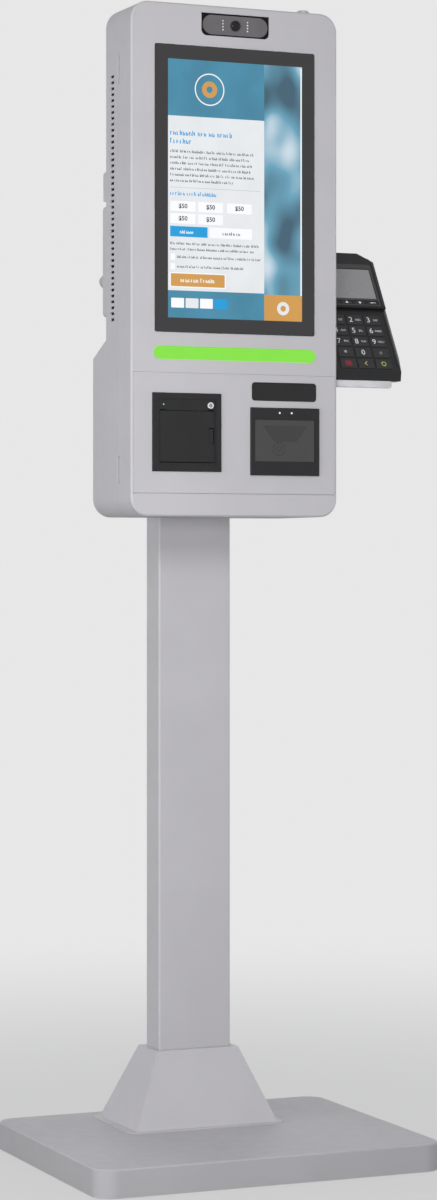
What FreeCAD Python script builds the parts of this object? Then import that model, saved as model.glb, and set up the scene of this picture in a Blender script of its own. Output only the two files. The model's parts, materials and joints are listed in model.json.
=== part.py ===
import FreeCAD, Part
import math
import os
import Sketcher

# Donation kiosk: a folded steel head with a touch screen on a column and a base.
# Millimetres. The origin is the middle of the underside of the base.
# +X is to the right seen from the front, the front faces -Y, and +Z is up.

Vector = FreeCAD.Vector
doc = FreeCAD.newDocument("donation_kiosk")
sheet = doc.addObject("Spreadsheet::Sheet", "Sizes")
nodes = []


# Sizes that follow the sheet

class Size:
    """A size: its present value, and the expression that ties it to the sheet."""

    def __init__(self, value, text):
        self.value = float(value)
        self.text = text

    def __add__(self, other):
        other = as_size(other)
        return Size(self.value + other.value, f"({self.text} + {other.text})")

    def __radd__(self, other):
        return as_size(other) + self

    def __sub__(self, other):
        other = as_size(other)
        return Size(self.value - other.value, f"({self.text} - {other.text})")

    def __rsub__(self, other):
        return as_size(other) - self

    def __mul__(self, other):
        other = as_size(other)
        return Size(self.value * other.value, f"({self.text} * {other.text})")

    def __rmul__(self, other):
        return as_size(other) * self

    def __truediv__(self, other):
        other = as_size(other)
        return Size(self.value / other.value, f"({self.text} / {other.text})")

    def __rtruediv__(self, other):
        return as_size(other) / self

    def __neg__(self):
        return Size(-self.value, f"(0 - {self.text})")


def as_size(number):
    return number if isinstance(number, Size) else Size(number, repr(float(number)))


def size(alias, value):
    """Writes one driving dimension to the sheet."""
    row = size.row = getattr(size, "row", 0) + 1
    sheet.set(f"A{row}", alias)
    sheet.set(f"B{row}", str(value))
    sheet.setAlias(f"B{row}", alias)
    return Size(value, f"Sizes.{alias}")


def sine(angle):
    return Size(math.sin(math.radians(angle.value)), f"sin({angle.text})")


def cosine(angle):
    return Size(math.cos(math.radians(angle.value)), f"cos({angle.text})")


def tangent(angle):
    return Size(math.tan(math.radians(angle.value)), f"tan({angle.text})")


ZERO = as_size(0)


# Outlines: each one adds its lines, arcs and bound constraints to a drawing

CORNERS = ("low left", "low right", "high right", "high left")
UP = Vector(0, 0, 1)
START = 1
END = 2
CENTRE = 3


class Drawing:
    """Collects geometry and constraints, and writes them to a sketch at once."""

    def __init__(self):
        self.shapes = []
        self.constraints = []
        self.bindings = []

    def add(self, shape):
        self.shapes.append(shape)
        return len(self.shapes) - 1

    def line(self, start, end):
        return self.add(Part.LineSegment(start, end))

    def arc(self, centre, radius, start, end):
        return self.add(Part.ArcOfCircle(Part.Circle(centre, UP, radius), start, end))

    def tie(self, kind, *where):
        self.constraints.append(Sketcher.Constraint(kind, *where))

    def bind(self, kind, where, length):
        length = as_size(length)
        self.bindings.append((len(self.constraints), length.text))
        self.tie(kind, *where, length.value)

    def bind_point(self, element, end, x, y):
        self.bind("DistanceX", (-1, 1, element, end), x)
        self.bind("DistanceY", (-1, 1, element, end), y)

    def write(self, sketch):
        sketch.addGeometry(self.shapes, False)
        sketch.addConstraint(self.constraints)
        for index, text in self.bindings:
            sketch.setExpression(f"Constraints[{index}]", text)


def point(x, y):
    return Vector(as_size(x).value, as_size(y).value, 0)


def polygon(*points):
    """Straight lines from point to point, closed."""
    def draw(drawing):
        spots = [point(x, y) for x, y in points]
        lines = [drawing.line(spot, spots[(i + 1) % len(spots)]) for i, spot in enumerate(spots)]
        for i, (x, y) in enumerate(points):
            drawing.tie("Coincident", lines[i - 1], END, lines[i], START)
            drawing.bind_point(lines[i], START, x, y)
    return draw


def panel(left, right, low, high, radius=None, corners=CORNERS):
    """A rectangle between four coordinates, with the named corners rounded."""
    def draw(drawing):
        cut = [radius.value if radius and name in corners else 0 for name in CORNERS]
        spots = [point(left, low), point(right, low), point(right, high), point(left, high)]
        along = [Vector(1, 0, 0), Vector(0, 1, 0), Vector(-1, 0, 0), Vector(0, -1, 0)]
        sides = []
        for i, way in enumerate(along):
            following = (i + 1) % 4
            sides.append(drawing.line(spots[i] + way * cut[i],
                                      spots[following] - way * cut[following]))
            drawing.tie("Horizontal" if way.x else "Vertical", sides[i])
        first_arc = None
        for i, way in enumerate(along):
            if not cut[i]:
                drawing.tie("Coincident", sides[i - 1], END, sides[i], START)
                continue
            centre = spots[i] + (way - along[i - 1]) * cut[i]
            turn = math.atan2(-along[i - 1].x, along[i - 1].y)
            arc = drawing.arc(centre, cut[i], turn, turn + math.pi / 2)
            drawing.tie("Tangent", arc, START, sides[i - 1], END)
            drawing.tie("Tangent", arc, END, sides[i], START)
            if first_arc is None:
                first_arc = arc
                drawing.bind("Radius", (arc,), radius)
            else:
                drawing.tie("Equal", first_arc, arc)
        for side, kind, place in zip(sides, ("DistanceY", "DistanceX") * 2,
                                     (low, right, high, left)):
            drawing.bind(kind, (-1, 1, side, START), place)
    return draw


def block(x, y, width, height, radius=None, corners=CORNERS):
    """A panel drawn about its middle."""
    across = width / 2
    up = height / 2
    return panel(x - across, x + across, y - up, y + up, radius, corners)


def disc(x, y, radius):
    def draw(drawing):
        ring = drawing.add(Part.Circle(point(x, y), UP, radius.value))
        drawing.bind_point(ring, CENTRE, x, y)
        drawing.bind("Radius", (ring,), radius)
    return draw


def pill(left, right, y, radius):
    """A bar with half-round ends."""
    def draw(drawing):
        first = point(left + radius, y)
        last = point(right - radius, y)
        rise = Vector(0, radius.value, 0)
        under = drawing.line(first - rise, last - rise)
        over = drawing.line(last + rise, first + rise)
        right_end = drawing.arc(last, radius.value, -math.pi / 2, math.pi / 2)
        left_end = drawing.arc(first, radius.value, math.pi / 2, math.pi * 3 / 2)
        drawing.tie("Tangent", right_end, START, under, END)
        drawing.tie("Tangent", right_end, END, over, START)
        drawing.tie("Tangent", left_end, START, over, END)
        drawing.tie("Tangent", left_end, END, under, START)
        drawing.tie("Horizontal", under)
        drawing.tie("Equal", right_end, left_end)
        drawing.bind("Radius", (right_end,), radius)
        drawing.bind_point(right_end, CENTRE, right - radius, y)
        drawing.bind("DistanceX", (-1, 1, left_end, CENTRE), left + radius)
    return draw


def clipped(x, y, width, height, cut):
    """A block with its corners cut off straight."""
    across = width / 2
    up = height / 2
    return polygon((x - across + cut, y - up), (x + across - cut, y - up),
                   (x + across, y - up + cut), (x + across, y + up - cut),
                   (x + across - cut, y + up), (x - across + cut, y + up),
                   (x - across, y + up - cut), (x - across, y - up + cut))


def hexagon(x, y, across_flats):
    corner = across_flats / 2 / math.cos(math.pi / 6)
    turns = [math.pi / 6 + math.pi / 3 * i for i in range(6)]
    return polygon(*[(x + corner * math.cos(turn), y + corner * math.sin(turn))
                     for turn in turns])


# Bodies and their features

VIEWS = {"top": ("XY_Plane", 1), "front": ("XZ_Plane", -1), "side": ("YZ_Plane", 1)}
AXES = {"x": "X_Axis", "y": "Y_Axis", "z": "Z_Axis"}


def body(name):
    made = doc.addObject("PartDesign::Body", name)
    made.Label = name
    nodes.append(made)
    return made


def origin_feature(owner, role):
    return next(item for item in owner.Origin.OriginFeatures if item.Role == role)


def sketch_in(owner, view, at, outlines):
    """A sketch seen in one view, at one place along that view's axis."""
    role, sign = VIEWS[view]
    sketch = owner.newObject("Sketcher::SketchObject", f"{owner.Name}_sketch")
    sketch.AttachmentSupport = [(origin_feature(owner, role), "")]
    sketch.MapMode = "FlatFace"
    offset = as_size(at) if sign > 0 else -as_size(at)
    sketch.setExpression("AttachmentOffset.Base.z", offset.text)
    drawing = Drawing()
    for outline in outlines:
        outline(drawing)
    drawing.write(sketch)
    return sketch


def extrude(owner, kind, view, start, end, outlines):
    before = owner.Shape.Volume if owner.Tip else 0.0
    start = as_size(start)
    end = as_size(end)
    sketch = sketch_in(owner, view, start, outlines)
    feature = owner.newObject(f"PartDesign::{kind}", f"{owner.Name}_{kind.lower()}")
    feature.Profile = sketch
    forward = end.value > start.value
    length = end - start if forward else start - end
    own_way = VIEWS[view][1] if kind == "Pad" else -VIEWS[view][1]
    feature.Reversed = forward != (own_way > 0)
    feature.setExpression("Length", length.text)
    doc.recompute()
    gained = owner.Shape.Volume - before
    if gained * (1 if kind == "Pad" else -1) <= 0:
        raise RuntimeError(f"{feature.Name} changes nothing")
    return feature


def pad(owner, view, start, end, *outlines):
    return extrude(owner, "Pad", view, start, end, outlines)


def pocket(owner, view, start, end, *outlines):
    return extrude(owner, "Pocket", view, start, end, outlines)


def repeat(owner, feature, axis, spacing, count, axis2=None, spacing2=None, count2=None):
    """Copies a feature along one or two of the body's axes."""
    pattern = owner.newObject("PartDesign::LinearPattern", f"{owner.Name}_row")
    pattern.Originals = [feature]
    pattern.Direction = (origin_feature(owner, AXES[axis]), [""])
    pattern.Mode = "Spacing"
    pattern.setExpression("Offset", spacing.text)
    pattern.setExpression("Occurrences", count.text)
    if axis2:
        pattern.Direction2 = (origin_feature(owner, AXES[axis2]), [""])
        pattern.Mode2 = "Spacing"
        pattern.setExpression("Offset2", spacing2.text)
        pattern.setExpression("Occurrences2", count2.text)
    owner.Tip = pattern
    doc.recompute()
    return pattern


def at(**places):
    """Picks the edges that lie wholly at the given coordinates."""
    def picked(edge):
        box = edge.BoundBox
        for axis, place in places.items():
            low = getattr(box, axis.upper() + "Min")
            high = getattr(box, axis.upper() + "Max")
            if max(abs(low - as_size(place).value), abs(high - as_size(place).value)) > 0.01:
                return False
        return True
    return picked


def dress(owner, kind, amount, *picks):
    """A fillet or chamfer on the edges that any of the picks takes."""
    base = owner.Tip
    names = [f"Edge{i + 1}" for i, edge in enumerate(base.Shape.Edges)
             if any(pick(edge) for pick in picks)]
    if not names:
        raise RuntimeError(f"{owner.Name} has no such edge")
    feature = owner.newObject(f"PartDesign::{kind}", f"{owner.Name}_{kind.lower()}")
    feature.Base = (base, names)
    feature.setExpression("Radius" if kind == "Fillet" else "Size", amount.text)
    doc.recompute()
    return feature


def chamfer(owner, leg, *picks):
    return dress(owner, "Chamfer", leg, *picks)


# Driving dimensions, all in the sheet before the first body

# Base and column
base_width = size("base_width", 495)
base_depth = size("base_depth", 404)
base_top = size("base_top", 38)
base_corner = size("base_corner", 28)
base_edge = size("base_edge", 2)
base_lift = size("base_lift", 1)
skin = size("skin", 2)
pad_thick = size("pad_thick", 3)
pad_inset = size("pad_inset", 8)
ballast_inset = size("ballast_inset", 4)
ballast_thick = size("ballast_thick", 16)
boss_wide = size("boss_wide", 18)
window_wide = size("window_wide", 172)
window_deep = size("window_deep", 118)
bolt_across = size("bolt_across", 76)
bolt_along = size("bolt_along", 48)
bolt_radius = size("bolt_radius", 5)
bolt_length = size("bolt_length", 25)
bolt_head_flats = size("bolt_head_flats", 16)
bolt_head_high = size("bolt_head_high", 6.4)
bolt_play = size("bolt_play", 0.05)
column_wide = size("column_wide", 107)
column_deep = size("column_deep", 47)
column_wall = size("column_wall", 2.5)
column_corner = size("column_corner", 3)
column_top = size("column_top", 1075)
foot_wide = size("foot_wide", 180)
foot_deep = size("foot_deep", 126)
foot_thick = size("foot_thick", 8)
foot_corner = size("foot_corner", 10)
duct_wide = size("duct_wide", 60)
duct_deep = size("duct_deep", 26)
cap_thick = size("cap_thick", 3)
cap_skirt = size("cap_skirt", 10)
cap_play = size("cap_play", 0.2)
flange_wide = size("flange_wide", 232)
flange_deep = size("flange_deep", 154)
flange_corner = size("flange_corner", 18)
shroud_wall = size("shroud_wall", 1.5)
shroud_foot_wide = size("shroud_foot_wide", 208)
shroud_foot_deep = size("shroud_foot_deep", 141)
shroud_neck_wide = size("shroud_neck_wide", 121)
shroud_neck_deep = size("shroud_neck_deep", 68)
shroud_neck_at = size("shroud_neck_at", 141)
shroud_play = size("shroud_play", 1)

# Head
head_wide = size("head_wide", 301)
head_low = size("head_low", 873)
head_high = size("head_high", 1556)
head_front = size("head_front", -70)
head_corner = size("head_corner", 25)
head_edge = size("head_edge", 2)
upper_rear = size("upper_rear", 21)
lower_rear = size("lower_rear", 70)
step_high = size("step_high", 1111.4)
step_tilt = size("step_tilt", 24.95)
door_rear = size("door_rear", -20.7)
door_gap = size("door_gap", 0.8)
head_bolt_low = size("head_bolt_low", 915)
head_bolt_high = size("head_bolt_high", 1035)
cable_hole_z = size("cable_hole_z", 975)
cable_hole_wide = size("cable_hole_wide", 36)
cable_hole_tall = size("cable_hole_tall", 40)

# Rear half of the head
vent_y = size("vent_y", -1.2)
vent_low = size("vent_low", 1137.2)
vent_long = size("vent_long", 14)
vent_high = size("vent_high", 3.8)
vent_pitch = size("vent_pitch", 7.946)
vent_count = size("vent_count", 42)
sheet_thin = size("sheet_thin", 1.5)
hood_low = size("hood_low", 1299)
hood_high = size("hood_high", 1339.7)
hood_deep = size("hood_deep", 10.5)
hood_corner = size("hood_corner", 6)
hood_lap = size("hood_lap", 10)
strip_right = size("strip_right", 140)
hatch_x = size("hatch_x", 108)
hatch_low = size("hatch_low", 1163)
hatch_high = size("hatch_high", 1272)
cover_low = size("cover_low", 1142.8)
cover_high = size("cover_high", 1292.8)
cover_rear = size("cover_rear", 33.4)
rim_gap = size("rim_gap", 0.3)
keeper_x = size("keeper_x", -122)
keeper_wide = size("keeper_wide", 10)
keeper_tall = size("keeper_tall", 12)
knob_x = size("knob_x", -139.2)
knob_z = size("knob_z", 1193)
knob_radius = size("knob_radius", 11.25)
knob_rear = size("knob_rear", 47.7)
knob_slope = size("knob_slope", 9.5)
spindle_radius = size("spindle_radius", 4)
tongue_long = size("tongue_long", 15)
tongue_wide = size("tongue_wide", 8)
tongue_y = size("tongue_y", 25.5)
running = size("running", 0.05)

# Hinges of the lift-off kind: a pin on the lower knuckle, and an upper knuckle over it
knuckle_long = size("knuckle_long", 18)
service_knuckle_long = size("service_knuckle_long", 40)
knuckle_radius = size("knuckle_radius", 2.25)
hinge_pin_radius = size("hinge_pin_radius", 1.25)
knuckle_play = size("knuckle_play", 0.3)
leaf_thick = size("leaf_thick", 1.2)
leaf_reach = size("leaf_reach", 21)
leaf_clear = size("leaf_clear", 0.55)
door_axis_in = size("door_axis_in", 5)
door_hinge_low = size("door_hinge_low", 935)
door_hinge_high = size("door_hinge_high", 1470)
service_axis_out = size("service_axis_out", 2.6)

# Lock in the top of the door, and the pin it catches
lock_x = size("lock_x", 111)
lock_y = size("lock_y", -45)
strike_y = size("strike_y", -10)
strike_radius = size("strike_radius", 2.5)
strike_low = size("strike_low", 1525)

# Computer and power supply
computer_x = size("computer_x", 0)
computer_z = size("computer_z", 1215)
computer_wide = size("computer_wide", 200)
computer_tall = size("computer_tall", 150)
computer_deep = size("computer_deep", 22)
fin_high = size("fin_high", 8)
fin_thick = size("fin_thick", 3)
fin_pitch = size("fin_pitch", 16)
supply_left = size("supply_left", 50)
supply_wide = size("supply_wide", 85)
supply_low = size("supply_low", 890)
supply_tall = size("supply_tall", 180)
supply_deep = size("supply_deep", 38)

# Front half of the head, which is the door
glass_wide = size("glass_wide", 233.4)
glass_tall = size("glass_tall", 382.4)
glass_z = size("glass_z", 1309.2)
glass_corner = size("glass_corner", 3)
glass_proud = size("glass_proud", 0.6)
trim_gap = size("trim_gap", 0.3)
bar_long = size("bar_long", 236)
bar_z = size("bar_z", 1090.6)
bar_radius = size("bar_radius", 8.6)
bar_proud = size("bar_proud", 0.6)
bar_lip = size("bar_lip", 3)
bar_deep = size("bar_deep", 8)
board_thick = size("board_thick", 1.6)
recess_wide = size("recess_wide", 99)
recess_low = size("recess_low", 1515.7)
recess_high = size("recess_high", 1546)
recess_corner = size("recess_corner", 7.5)
recess_floor = size("recess_floor", 3)
surround_lip = size("surround_lip", 3)
face_long = size("face_long", 94.5)
face_radius = size("face_radius", 13)
face_z = size("face_z", 1530.7)
face_sunk = size("face_sunk", 0.5)
lens_radius = size("lens_radius", 7.25)
lens_proud = size("lens_proud", 1)
lower_panel_wide = size("lower_panel_wide", 295)
lower_panel_low = size("lower_panel_low", 904)
lower_panel_high = size("lower_panel_high", 1063.9)
lower_seam = size("lower_seam", 1.1)
ledge_lap = size("ledge_lap", 8)
ledge_thick = size("ledge_thick", 1.5)
screen_wide = size("screen_wide", 217)
screen_tall = size("screen_tall", 363)
screen_deep = size("screen_deep", 13)
screen_ear = size("screen_ear", 11)
screen_ear_tall = size("screen_ear_tall", 24)
screen_ear_at = size("screen_ear_at", 120)
name_x = size("name_x", 71.5)
name_z = size("name_z", 1041.5)
name_wide = size("name_wide", 95)
name_tall = size("name_tall", 24.8)
name_corner = size("name_corner", 4.5)
name_thick = size("name_thick", 1)
lock_body_wide = size("lock_body_wide", 16)
lock_body_cut = size("lock_body_cut", 4.7)
lock_head_radius = size("lock_head_radius", 9.25)
lock_head_high = size("lock_head_high", 7)
lock_plug_radius = size("lock_plug_radius", 4.8)
lock_body_low = size("lock_body_low", 1534)
key_slot_long = size("key_slot_long", 6)
key_slot_wide = size("key_slot_wide", 1.8)
key_slot_deep = size("key_slot_deep", 5)
cam_thick = size("cam_thick", 3)
cam_hub = size("cam_hub", 9)
cam_band = size("cam_band", 4.2)
cam_slot_play = size("cam_slot_play", 0.3)
cam_lead = size("cam_lead", 16)
cam_tail = size("cam_tail", 20)
cam_slot_end = size("cam_slot_end", 10)
printer_x = size("printer_x", -71)
printer_z = size("printer_z", 984.8)
printer_wide = size("printer_wide", 99.4)
printer_tall = size("printer_tall", 104.6)
scanner_x = size("scanner_x", 72.2)
scanner_z = size("scanner_z", 974.3)
scanner_wide = size("scanner_wide", 101.4)
scanner_tall = size("scanner_tall", 91.2)
module_lap = size("module_lap", 6)

# Receipt printer
frame_proud = size("frame_proud", 3)
frame_border = size("frame_border", 8)
frame_face_sunk = size("frame_face_sunk", 1)
frame_edge = size("frame_edge", 1)
lid_left = size("lid_left", -110)
lid_right = size("lid_right", -32)
lid_low = size("lid_low", 944.5)
lid_high = size("lid_high", 1013.2)
lid_thick = size("lid_thick", 2.4)
lid_gap = size("lid_gap", 0.4)
lid_barrel_radius = size("lid_barrel_radius", 1.8)
lid_pin_radius = size("lid_pin_radius", 0.9)
slot_high = size("slot_high", 1.6)
lever_left = size("lever_left", -39.2)
lever_right = size("lever_right", -33)
lever_low = size("lever_low", 970.3)
lever_high = size("lever_high", 990.6)
lever_thick = size("lever_thick", 1.8)
lever_barrel_radius = size("lever_barrel_radius", 2.1)
lever_pin_radius = size("lever_pin_radius", 1)
feed_x = size("feed_x", -37.5)
feed_z = size("feed_z", 1021)
feed_radius = size("feed_radius", 4.3)
feed_proud = size("feed_proud", 1.8)
feed_play = size("feed_play", 0.1)
feed_flange = size("feed_flange", 5.4)
feed_flange_thick = size("feed_flange_thick", 1.2)
engine_wall = size("engine_wall", 3)
engine_deep = size("engine_deep", 66)
engine_bay = size("engine_bay", 12)
roll_radius = size("roll_radius", 22)
roll_core = size("roll_core", 6)
roll_wide = size("roll_wide", 57)
roll_y = size("roll_y", -30)
roll_z = size("roll_z", 968)
roll_gap = size("roll_gap", 0.3)
well_play = size("well_play", 1)
platen_radius = size("platen_radius", 4.5)
platen_shaft = size("platen_shaft", 1.5)
platen_y = size("platen_y", -62)
platen_z = size("platen_z", 1006)
platen_arm = size("platen_arm", 2)
platen_arm_half = size("platen_arm_half", 3)
cutter_high = size("cutter_high", 9)

# Scanner
scanner_proud = size("scanner_proud", 4)
scanner_deep = size("scanner_deep", 45)
scanner_edge = size("scanner_edge", 1)
window_x = size("window_x", 71.5)
window_z = size("window_z", 975.5)
scan_window_wide = size("scan_window_wide", 88)
scan_window_tall = size("scan_window_tall", 56)
scan_window_thick = size("scan_window_thick", 2)
scan_window_sunk = size("scan_window_sunk", 1)
scan_seat = size("scan_seat", 3)

# Card terminal and its bracket
terminal_x = size("terminal_x", 210.4)
terminal_y = size("terminal_y", -20)
terminal_z = size("terminal_z", 1117.1)
terminal_lean = size("terminal_lean", 31)
shelf_top = size("shelf_top", 1061.5)
shelf_front = size("shelf_front", -48)
shelf_rear = size("shelf_rear", 8)
shelf_right = size("shelf_right", 244)
shelf_lip = size("shelf_lip", 10)
shelf_corner = size("shelf_corner", 4)
shelf_clear = size("shelf_clear", 2)
bracket_sheet = size("bracket_sheet", 2)
bracket_drop = size("bracket_drop", 36)
bracket_rear = size("bracket_rear", 34)
back_left = size("back_left", 166)
back_right = size("back_right", 238)
back_high = size("back_high", 60)
case_half = size("case_half", 57.5)
case_face_half = size("case_face_half", 51)
case_deep = size("case_deep", 26)
case_shoulder = size("case_shoulder", 8)
case_face = size("case_face", 1)
case_top = size("case_top", 152)
case_top_run = size("case_top_run", 20)
case_top_drop = size("case_top_drop", 17)
case_foot_half = size("case_foot_half", 48)
case_foot_start = size("case_foot_start", -22)
chin_start = size("chin_start", -48)
lip_depth = size("lip_depth", 4)
deck_low = size("deck_low", 55)
deck_half = size("deck_half", 52)
deck_high = size("deck_high", 149)
deck_flat = size("deck_flat", 30)
deck_shoulder = size("deck_shoulder", 134.5)
deck_proud = size("deck_proud", 5)
deck_edge = size("deck_edge", 1.5)
pane_x = size("pane_x", 1)
pane_low = size("pane_low", 69)
pane_high = size("pane_high", 121)
pane_wide = size("pane_wide", 81.2)
pane_thick = size("pane_thick", 1.5)
pane_sunk = size("pane_sunk", 0.3)
key_wide = size("key_wide", 25)
key_tall = size("key_tall", 16)
key_across = size("key_across", 27)
key_down = size("key_down", 18.3)
key_corner = size("key_corner", 1.2)
key_thick = size("key_thick", 4.2)
key_gap = size("key_gap", 0.3)
key_travel = size("key_travel", 1.2)
key_edge = size("key_edge", 0.6)
soft_wide = size("soft_wide", 17)
soft_tall = size("soft_tall", 6)
soft_y = size("soft_y", 63)
soft_first = size("soft_first", -26.9)
soft_across = size("soft_across", 20)

# Places that several pieces share

side_x = head_wide / 2
inner_x = side_x - skin
column_y = lower_rear + column_deep / 2
cover_under = base_top - skin
ballast_top = pad_thick + ballast_thick
foot_top = base_top + foot_thick
rear_front = door_rear + door_gap
inner_corner = head_corner - skin
bolt_hole = bolt_radius + bolt_play


# Base

base_cover = body("base_cover")
pad(base_cover, "top", base_lift, base_top, block(ZERO, ZERO, base_width, base_depth, base_corner))
chamfer(base_cover, base_edge, at(z=base_top))
pocket(base_cover, "top", base_lift, cover_under,
       block(ZERO, ZERO, base_width - skin * 2, base_depth - skin * 2, base_corner - skin))
pocket(base_cover, "top", cover_under, base_top,
       block(ZERO, column_y, window_wide, window_deep))

floor_pad = body("floor_pad")
under_wide = base_width - (skin + pad_inset) * 2
under_deep = base_depth - (skin + pad_inset) * 2
pad(floor_pad, "top", ZERO, pad_thick,
    clipped(ZERO, ZERO, under_wide, under_deep, base_corner - skin - pad_inset))

# The ballast's four blocks come up through the cover's window to the foot plate.
foot_bolts = [(bolt_across * sx, column_y + bolt_along * sy) for sx in (-1, 1) for sy in (-1, 1)]
bolt_discs = [disc(x, y, bolt_hole) for x, y in foot_bolts]
ballast_plate = body("ballast_plate")
ballast_wide = base_width - (skin + ballast_inset) * 2
ballast_deep = base_depth - (skin + ballast_inset) * 2
pad(ballast_plate, "top", pad_thick, ballast_top,
    clipped(ZERO, ZERO, ballast_wide, ballast_deep, base_corner - skin - ballast_inset))
pad(ballast_plate, "top", ballast_top, base_top,
    *[block(x, y, boss_wide, boss_wide) for x, y in foot_bolts])
pocket(ballast_plate, "top", base_top, foot_top - bolt_length - bolt_radius, *bolt_discs)


# Column

column_foot_plate = body("column_foot_plate")
pad(column_foot_plate, "top", base_top, foot_top,
    clipped(ZERO, column_y, foot_wide, foot_deep, foot_corner))
pocket(column_foot_plate, "top", foot_top, base_top,
       block(ZERO, column_y, duct_wide, duct_deep), *bolt_discs)

column_post = body("column_post")
bore_wide = column_wide - column_wall * 2
bore_deep = column_deep - column_wall * 2
pad(column_post, "top", foot_top, column_top,
    block(ZERO, column_y, column_wide, column_deep, column_corner))
pocket(column_post, "top", column_top, foot_top, block(ZERO, column_y, bore_wide, bore_deep))
head_bolts = [(ZERO, head_bolt_low), (ZERO, head_bolt_high)]
head_bolt_discs = [disc(x, z, bolt_hole) for x, z in head_bolts]
cable_way = block(ZERO, cable_hole_z, cable_hole_wide, cable_hole_tall)
pocket(column_post, "front", lower_rear, lower_rear + column_wall, cable_way, *head_bolt_discs)

column_top_cap = body("column_top_cap")
pad(column_top_cap, "top", column_top, column_top + cap_thick,
    block(ZERO, column_y, column_wide, column_deep, column_corner))
pad(column_top_cap, "top", column_top, column_top - cap_skirt,
    block(ZERO, column_y, bore_wide - cap_play * 2, bore_deep - cap_play * 2))
pocket(column_top_cap, "top", column_top - cap_skirt, column_top,
       block(ZERO, column_y, bore_wide - cap_play * 2 - column_wall * 2,
             bore_deep - cap_play * 2 - column_wall * 2))


def level_wall(foot, neck):
    """Both walls' thickness where a level cuts them: the slope lengthens it."""
    run = (foot - neck) / 2 / shroud_rise
    slope = Size(math.hypot(1, run.value), f"sqrt(1 + {run.text} ^ 2)")
    return shroud_wall * slope * 2


def frustum(owner, kind, foot_w, foot_d, neck_w, neck_d):
    """A four-sided frustum about the column, between the flange and the neck."""
    wedge = owner.newObject(f"PartDesign::{kind}Wedge", f"{owner.Name}_wedge")
    wedge.Placement.Rotation = FreeCAD.Rotation(Vector(1, 0, 0), 90)
    wedge.setExpression("Placement.Base.y", column_y.text)
    for name, place in (("Xmin", -foot_w / 2), ("Xmax", foot_w / 2), ("Ymin", shroud_low),
                        ("X2min", -neck_w / 2), ("X2max", neck_w / 2), ("Ymax", shroud_neck_at),
                        ("Zmin", -foot_d / 2), ("Zmax", foot_d / 2),
                        ("Z2min", -neck_d / 2), ("Z2max", neck_d / 2)):
        wedge.setExpression(name, place.text)
    doc.recompute()


column_shroud = body("column_shroud")
shroud_low = base_top + shroud_wall
shroud_rise = shroud_neck_at - shroud_low
inner_wide = level_wall(shroud_foot_wide, shroud_neck_wide)
inner_deep = level_wall(shroud_foot_deep, shroud_neck_deep)
frustum(column_shroud, "Additive", shroud_foot_wide, shroud_foot_deep,
        shroud_neck_wide, shroud_neck_deep)
frustum(column_shroud, "Subtractive", shroud_foot_wide - inner_wide,
        shroud_foot_deep - inner_deep, shroud_neck_wide - inner_wide,
        shroud_neck_deep - inner_deep)
pad(column_shroud, "top", base_top, shroud_low,
    block(ZERO, column_y, flange_wide, flange_deep, flange_corner),
    block(ZERO, column_y, shroud_foot_wide - inner_wide, shroud_foot_deep - inner_deep))
pad(column_shroud, "top", shroud_neck_at - shroud_wall, shroud_neck_at,
    block(ZERO, column_y, shroud_neck_wide - shroud_wall, shroud_neck_deep - shroud_wall),
    block(ZERO, column_y, column_wide + shroud_play * 2, column_deep + shroud_play * 2))

# Six bolts: four hold the foot plate, two hold the head to the column.
frame_bolts = body("frame_bolts")
inner_rear = lower_rear - skin
pad(frame_bolts, "top", foot_top, foot_top + bolt_head_high,
    *[hexagon(x, y, bolt_head_flats) for x, y in foot_bolts])
pad(frame_bolts, "top", foot_top, foot_top - bolt_length,
    *[disc(x, y, bolt_radius) for x, y in foot_bolts])
pad(frame_bolts, "front", inner_rear, inner_rear - bolt_head_high,
    *[hexagon(x, z, bolt_head_flats) for x, z in head_bolts])
pad(frame_bolts, "front", inner_rear, inner_rear + bolt_length,
    *[disc(x, z, bolt_radius) for x, z in head_bolts])


# Rear half of the head


door_axis_x = knuckle_radius - side_x
door_axis_y = door_rear - door_axis_in
service_axis_x = strip_right + service_axis_out
service_axis_y = upper_rear + rim_gap + knuckle_radius
pin_hole = hinge_pin_radius + running
leaf_start = knuckle_radius + leaf_clear
step_low = step_high - (lower_rear - upper_rear) * tangent(step_tilt)
step_shift = skin * (tangent(step_tilt) - 1 / cosine(step_tilt))
inner_low = head_low + skin
inner_high = head_high - skin
upper_inner_rear = upper_rear - skin
door_hinges = (door_hinge_low, door_hinge_high)
service_hinge = (cover_low + cover_high) / 2


def lower_knuckle(middle, length):
    return middle - length, middle


def upper_knuckle(middle, length):
    return middle + knuckle_play, middle + length


rear_housing = body("rear_housing")
pad(rear_housing, "front", rear_front, lower_rear,
    panel(-side_x, side_x, head_low, head_high, head_corner))
pocket(rear_housing, "side", -side_x, side_x,
       polygon((upper_rear, step_high), (lower_rear, step_low),
               (lower_rear, head_high), (upper_rear, head_high)))
pocket(rear_housing, "front", rear_front, upper_inner_rear,
       panel(-inner_x, inner_x, inner_low, inner_high, inner_corner))
pocket(rear_housing, "front", upper_inner_rear, inner_rear,
       panel(-inner_x, inner_x, inner_low, step_low + step_shift, inner_corner,
             ("low left", "low right")))
pocket(rear_housing, "side", -inner_x, inner_x,
       polygon((upper_inner_rear, step_low + step_shift), (inner_rear, step_low + step_shift),
               (upper_inner_rear, step_high + step_shift)))
pocket(rear_housing, "front", inner_rear, lower_rear, cable_way, *head_bolt_discs)
pocket(rear_housing, "front", upper_inner_rear, upper_rear,
       panel(-hatch_x, hatch_x, hatch_low, hatch_high))

# The cable hood is a bump pressed outwards, open to the inside.
pad(rear_housing, "front", upper_rear, upper_rear + hood_deep,
    panel(-side_x, strip_right, hood_low, hood_high, hood_corner, ("high left", "high right")))
pocket(rear_housing, "front", upper_inner_rear, upper_rear + hood_deep - sheet_thin,
       panel(hood_lap - side_x, strip_right - hood_lap, hood_low + sheet_thin,
             hood_high - sheet_thin))

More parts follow.
